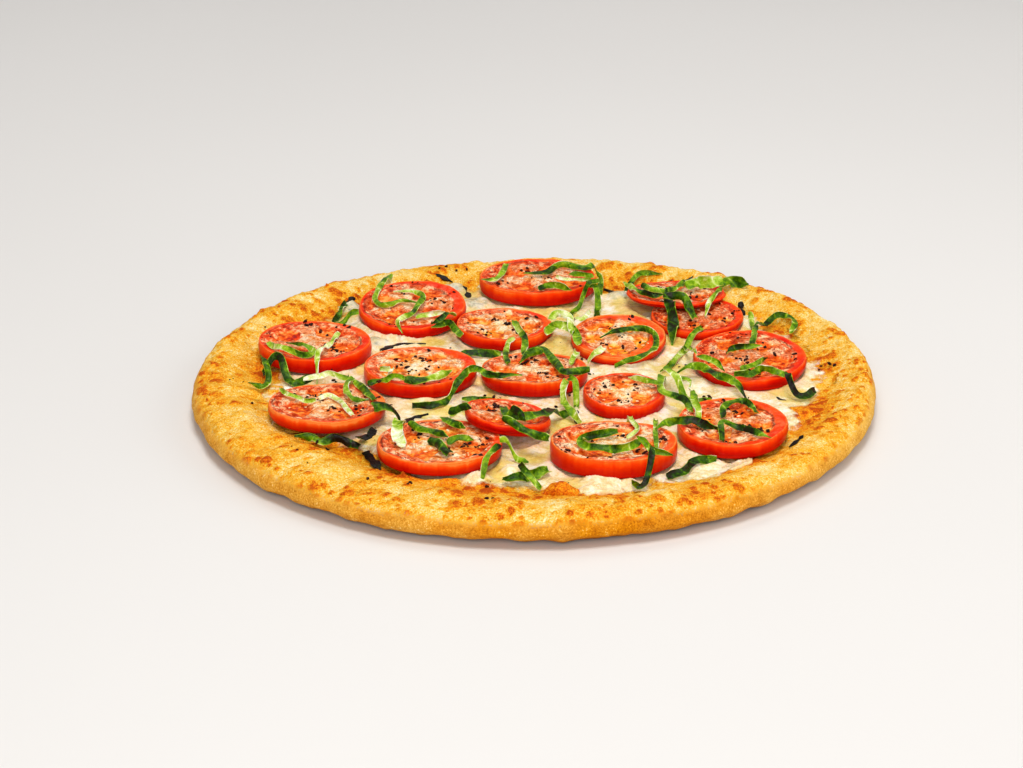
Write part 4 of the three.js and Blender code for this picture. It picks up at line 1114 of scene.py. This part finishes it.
def lay_shred(width, path):
    """Lays a shred on all that is there, as the part does, and gives its curve and the heights along it."""
    line, gone = catmull(path)
    # The part's strip is straight between stations, so each is as high as the pieces beside it need.
    count = max(4, int(round(gone[-1] / SHRED_STEP)))
    fine = 6
    t = np.clip(np.arange(-fine, count * fine + fine + 1) / (count * fine), 0, 1)
    x, y, side, _, half = shred_frame(line, gone, t, width, LEAN)
    need = np.zeros(len(t))
    for across in np.linspace(-1, 1, 9):
        out = across * (half + GAP)
        clear = laid_at(x + side[:, 0] * out, y + side[:, 1] * out) + GAP + LEAF / 2 + SLACK
        need = np.maximum(need, clear - side[:, 2] * across * half)
    heights = np.array([need[i * fine : (i + 2) * fine + 1].max() for i in range(count + 1)])
    # What it covers is higher for the next shred.
    t = np.linspace(0, 1, count * 12 + 1)
    x, y, side, face, half = shred_frame(line, gone, t, width, LEAN)
    z = np.interp(t * count, np.arange(count + 1), heights)
    for across in np.linspace(-1, 1, 17):
        out = across * (half + GAP + SLACK)
        px, py = x + side[:, 0] * out, y + side[:, 1] * out
        top = z + side[:, 2] * across * half + (LEAF / 2) * np.abs(face[:, 2]) + SLACK
        for ox in (-2 * SLACK, 2 * SLACK):
            for oy in (-2 * SLACK, 2 * SLACK):
                np.maximum.at(laid, (grid_index(py + oy), grid_index(px + ox)), top)
    return line, gone, heights


def leaf_marks(number, width, tone, s, phase, rng):
    """Tone and veins at the points round a shred, for ways s along it. It is paler below and at its cut
    edges, lighter or darker from fold to fold and flank to flank as painted light and shade, and crossed by
    slanting veins. Veins and cut edges also carry painted highlights."""
    wilted = tone < WILTED
    s = s[:, None]
    across = np.concatenate([ACROSS[::-1], ACROSS])[None, :]
    below = np.repeat([0, 1], len(ACROSS))[None, :]
    spacing = rng.uniform(5, 9)
    slant = rng.uniform(-0.6, 0.6) * width * across
    cell = (s + slant) / spacing + 0.2 * noise(s, 0 * s, 4, 41)
    vein_and_highlight = np.exp(-(((cell - np.round(cell)) * spacing / VEIN) ** 2))
    # Cut edges are pale, with one edge lighter than the other as a painted highlight.
    cut_and_highlight = smooth(0.84, 1, across) + 0.6 * smooth(-0.84, -1, across)
    lobe = noise(s, 0 * s, 9, 51 + number % 7)
    # Painted light and shade: lighter or darker from fold to fold, and one flank lighter than the other.
    painted_fold_light = 0.06 * np.tanh(4 * np.sin(s / 3.1 + phase[3]) + 4 * np.sin(s / 7.3 + phase[2]))
    painted_flank_light = 0.08 * across * np.sin(s / 11 + phase[1])
    lively = 0.12 * lobe if wilted else 0.16 * below + 0.2 * lobe + painted_fold_light + painted_flank_light - 0.08
    tones = np.broadcast_to(np.minimum(tone + lively, PALEST), vein_and_highlight.shape)
    return {"tone": tones, "vein_and_highlight": (0.5 * vein_and_highlight + 0.6 * cut_and_highlight) * (not wilted)}


def basil_shred(number, width, tone, path, leaf, replaces=()):
    """One shred of leaf, cupped across and gently twisted along its way, or a flat ragged scrap if wilted."""
    wilted = tone < WILTED
    rng = np.random.default_rng(BASIL_SEED + number)
    if wilted:
        line, gone = catmull(path)
        heights = cheese_at(line[::20, 0], line[::20, 1]) + 0.35
    else:
        line, gone, heights = lay_shred(width, path)
    steps = max(8, int(gone[-1] / LEAF_STEP))
    t = np.linspace(0, 1, steps + 1)
    s = t * gone[-1]
    x, y, side, face, half = shred_frame(line, gone, t, width, 0 if wilted else LEAN, (1, 1))
    ends = rng.choice([BLUNT, POINTED], 2, p=[0.6, 0.4])
    for end, away in zip(ends, (t, 1 - t)):
        half = half * mix(end, 1, smooth(0, 1.1 - end, 4 * away))
    z = np.interp(t * (len(heights) - 1), np.arange(len(heights)), heights)
    for _ in range(4):  # the bends between stations become curves
        z[1:-1] = 0.25 * z[:-2] + 0.5 * z[1:-1] + 0.25 * z[2:]

    # It rolls to and fro about its middle line, which lifts to keep its edge off what lies below.
    phase = rng.uniform(0, FULL_TURN, 4)
    pitch = rng.uniform(12, 22)
    swing = 0 if wilted else rng.uniform(0.35, 0.7)
    twist = (swing * np.sin(s / pitch * FULL_TURN + phase[0]) + rng.uniform(-0.15, 0.3))[:, None]
    side, face = side * np.cos(twist) + face * np.sin(twist), face * np.cos(twist) - side * np.sin(twist)
    z = z + 0.35 * half * np.abs(np.sin(twist[:, 0]))

    # Its section: cupped up or down, one edge fluttering against the other, with edges that a knife left even
    # or the oven ragged.
    cup = rng.uniform(-0.3, 0.34) * width
    flutter = 0.05 * width * np.sin(s / rng.uniform(6, 10) * FULL_TURN + phase[1])
    trim = 1 + 0.08 * noise(s, 0 * s, 6, 31 + number % 5)
    if wilted:
        trim = 1.1 + 1.1 * noise(s, 0 * s, 2.2, 33 + number % 5)
    middle = np.stack([x, y, z], -1)
    layers = []
    for above, order in ((1, ACROSS[::-1]), (-1, ACROSS)):
        for across in order:
            off = cup * (across**2 - 0.45) + flutter * across + above * LEAF_SHOWN / 2
            layers.append(middle + side * (across * half * trim)[:, None] + face * off[:, None])
    loops = np.swapaxes(np.array(layers), 0, 1)
    around = loops.shape[1]
    faces = ring_faces(steps + 1, around)
    faces.append(list(range(around))[::-1])
    faces.append([steps * around + i for i in range(around)])
    marks = leaf_marks(number, width, tone, s, phase, rng)
    name = f"shred_{number + 1:02d}"
    mesh_piece(name, loops.reshape(-1, 3), faces, leaf, replaces, marks, crisp=True)


# ---------------------------------------------------------------- seeds and pepper
def scatter(name, places, shape, material):
    """One mesh of many copies of a shape, each given by its place, turn, tip and size."""
    corners, sides = shape
    points, faces = [], []
    for k, (x, y, z, turn, tip, size) in enumerate(places):
        wide, deep, high = (corners * size).T
        c, s = np.cos(turn), np.sin(turn)
        points.append(np.stack([x + c * wide - s * deep, y + s * wide + c * deep, z + high + wide * tip], -1))
        faces += [[i + k * len(corners) for i in side] for side in sides]
    mesh_piece(name, np.concatenate(points), faces, material)


def closed_rings(rings, low, high):
    """A small closed shape from rings of equal count and its two end points."""
    return np.concatenate([*rings, [low], [high]]), closed_faces(len(rings), len(rings[0]))


def seed_shape():
    """A flat drop, 2.5 mm long at size 1."""
    a = np.arange(8) * FULL_TURN / 8
    long = 1.25 * np.cos(a) * (1 + 0.25 * np.cos(a))
    rings = []
    for wide, z in ((0.8, -0.2), (1, 0), (0.8, 0.2)):
        rings.append(np.stack([wide * long, wide * 0.8 * np.sin(a), z + 0 * a], -1))
    return closed_rings(rings, (0, 0, -0.3), (0, 0, 0.3))


def flake_shape():
    """A crushed corn of pepper with uneven sides, about 1.5 mm long at size 1."""
    rng = np.random.default_rng(61)
    rings = []
    for wide, turn, z in ((0.8, 0, -0.3), (1, 0.4, 0.05), (0.6, 0.2, 0.36)):
        a = np.arange(6) * FULL_TURN / 6 + turn
        reach = wide * rng.uniform(0.65, 1.2, 6)
        rings.append(np.stack([0.78 * reach * np.cos(a), 0.55 * reach * np.sin(a), z + 0 * a], -1))
    return closed_rings(rings, (0, 0, -0.34), (0.05, 0, 0.4))


PEPPER_CLUMP = (65, -22, 14)  # x, y and flakes of the clump between two slices
PEPPER_PINCHES = 46
PEPPER_REACH = 112


def pepper_on_cheese(pepper):
    """Finds places for pinches of pepper all over the cheese, clear of the slices."""
    rng = np.random.default_rng(71)
    heaps = [PEPPER_CLUMP]
    while len(heaps) < PEPPER_PINCHES:
        a, r = rng.uniform(0, FULL_TURN), PEPPER_REACH * np.sqrt(rng.uniform(0, 1))
        if slice_distance(r * np.cos(a), r * np.sin(a)) > 1:
            heaps.append((r * np.cos(a), r * np.sin(a), rng.integers(1, 4)))
    for x, y, flakes in heaps:
        for _ in range(flakes):
            px, py = x + rng.normal(0, 2), y + rng.normal(0, 1.6)
            pepper.append((px, py, laid_at(px, py) + 0.35, *pepper_turn(rng)))


# ---------------------------------------------------------------- the room
CAMERA_AIM = Vector((-7.9, -2.5, 6))  # in the pizza's own frame
CAMERA_ELEVATION = 23.6
CAMERA_DISTANCE = 901.8
CAMERA_LENS = 85
CAMERA_SENSOR = 36
# Soft square lights: place, size and power, in metres and watts.
LIGHTS = {
    "window": ((0.05, -0.25, 1.25), 0.5, 8.8),
    "front": ((-0.15, -1.3, 0.65), 0.8, 10),
    "side": ((1.1, -0.1, 0.6), 0.8, 4.5),
    "back": ((-0.15, 0.8, 1.2), 0.6, 4),
}
LAMP_TINT = "#fffefc"
SKY_TINT = "#fefeff"
SKY_STRENGTH = 0.29


def camera():
    """Looks down at the pizza from the front."""
    lens = bpy.data.cameras.new("camera")
    lens.lens = CAMERA_LENS
    lens.sensor_width = CAMERA_SENSOR
    lens.clip_end = 20
    eye = bpy.data.objects.new("camera", lens)
    bpy.context.scene.collection.objects.link(eye)
    up = CAMERA_ELEVATION * RAD
    back = Vector((0, -np.cos(up), np.sin(up)))
    aim = (CAMERA_AIM + Vector(SHIFT)) * MM
    eye.location = aim + back * CAMERA_DISTANCE * MM
    eye.rotation_euler = back.to_track_quat("Z", "Y").to_euler()
    bpy.context.scene.camera = eye


def soft_light(name, place, size, power):
    """A square light that faces the pizza."""
    lamp = bpy.data.lights.new(name, "AREA")
    lamp.shape = "SQUARE"
    lamp.size = size
    lamp.energy = power
    lamp.color = linear(LAMP_TINT)[:3]
    holder = bpy.data.objects.new(name, lamp)
    holder.location = place
    holder.rotation_euler = Vector(place).to_track_quat("Z", "Y").to_euler()
    bpy.context.scene.collection.objects.link(holder)


def room():
    """The table, the sky and the lights."""
    bpy.ops.mesh.primitive_plane_add(size=6, location=(0, 1, -0.0002))
    table = bpy.context.object
    table.name = "table"
    table.data.materials.append(painted_table())
    world = bpy.data.worlds.new("studio")
    world.use_nodes = True
    sky = world.node_tree.nodes["Background"]
    sky.inputs["Color"].default_value = linear(SKY_TINT)
    sky.inputs["Strength"].default_value = SKY_STRENGTH
    bpy.context.scene.world = world
    for name, (place, size, power) in LIGHTS.items():
        soft_light(name, place, size, power)
    bpy.context.scene.view_settings.view_transform = "Standard"


# ---------------------------------------------------------------- assembly
camera()
room()
crust()
cheese()
seeds, pepper = [], []
flesh = roasted_tomato()
for number, seat in enumerate(seat_slices()):
    tomato = Slice(number, seat)
    tomato.build(flesh)
    tomato.season(seeds, pepper)
leaf = basil_leaf()
for number, (width, tone, path) in enumerate(SHREDS):
    basil_shred(number, width, tone, path, leaf, [f"basil_{number + 1:02d}"])
for number, (width, tone, path) in enumerate(SMALL_SHREDS, len(SHREDS)):
    basil_shred(number, width, tone, path, leaf)
pepper_on_cheese(pepper)
scatter("tomato_seeds", seeds, seed_shape(), tomato_seed())
scatter("pepper", pepper, flake_shape(), cracked_pepper())
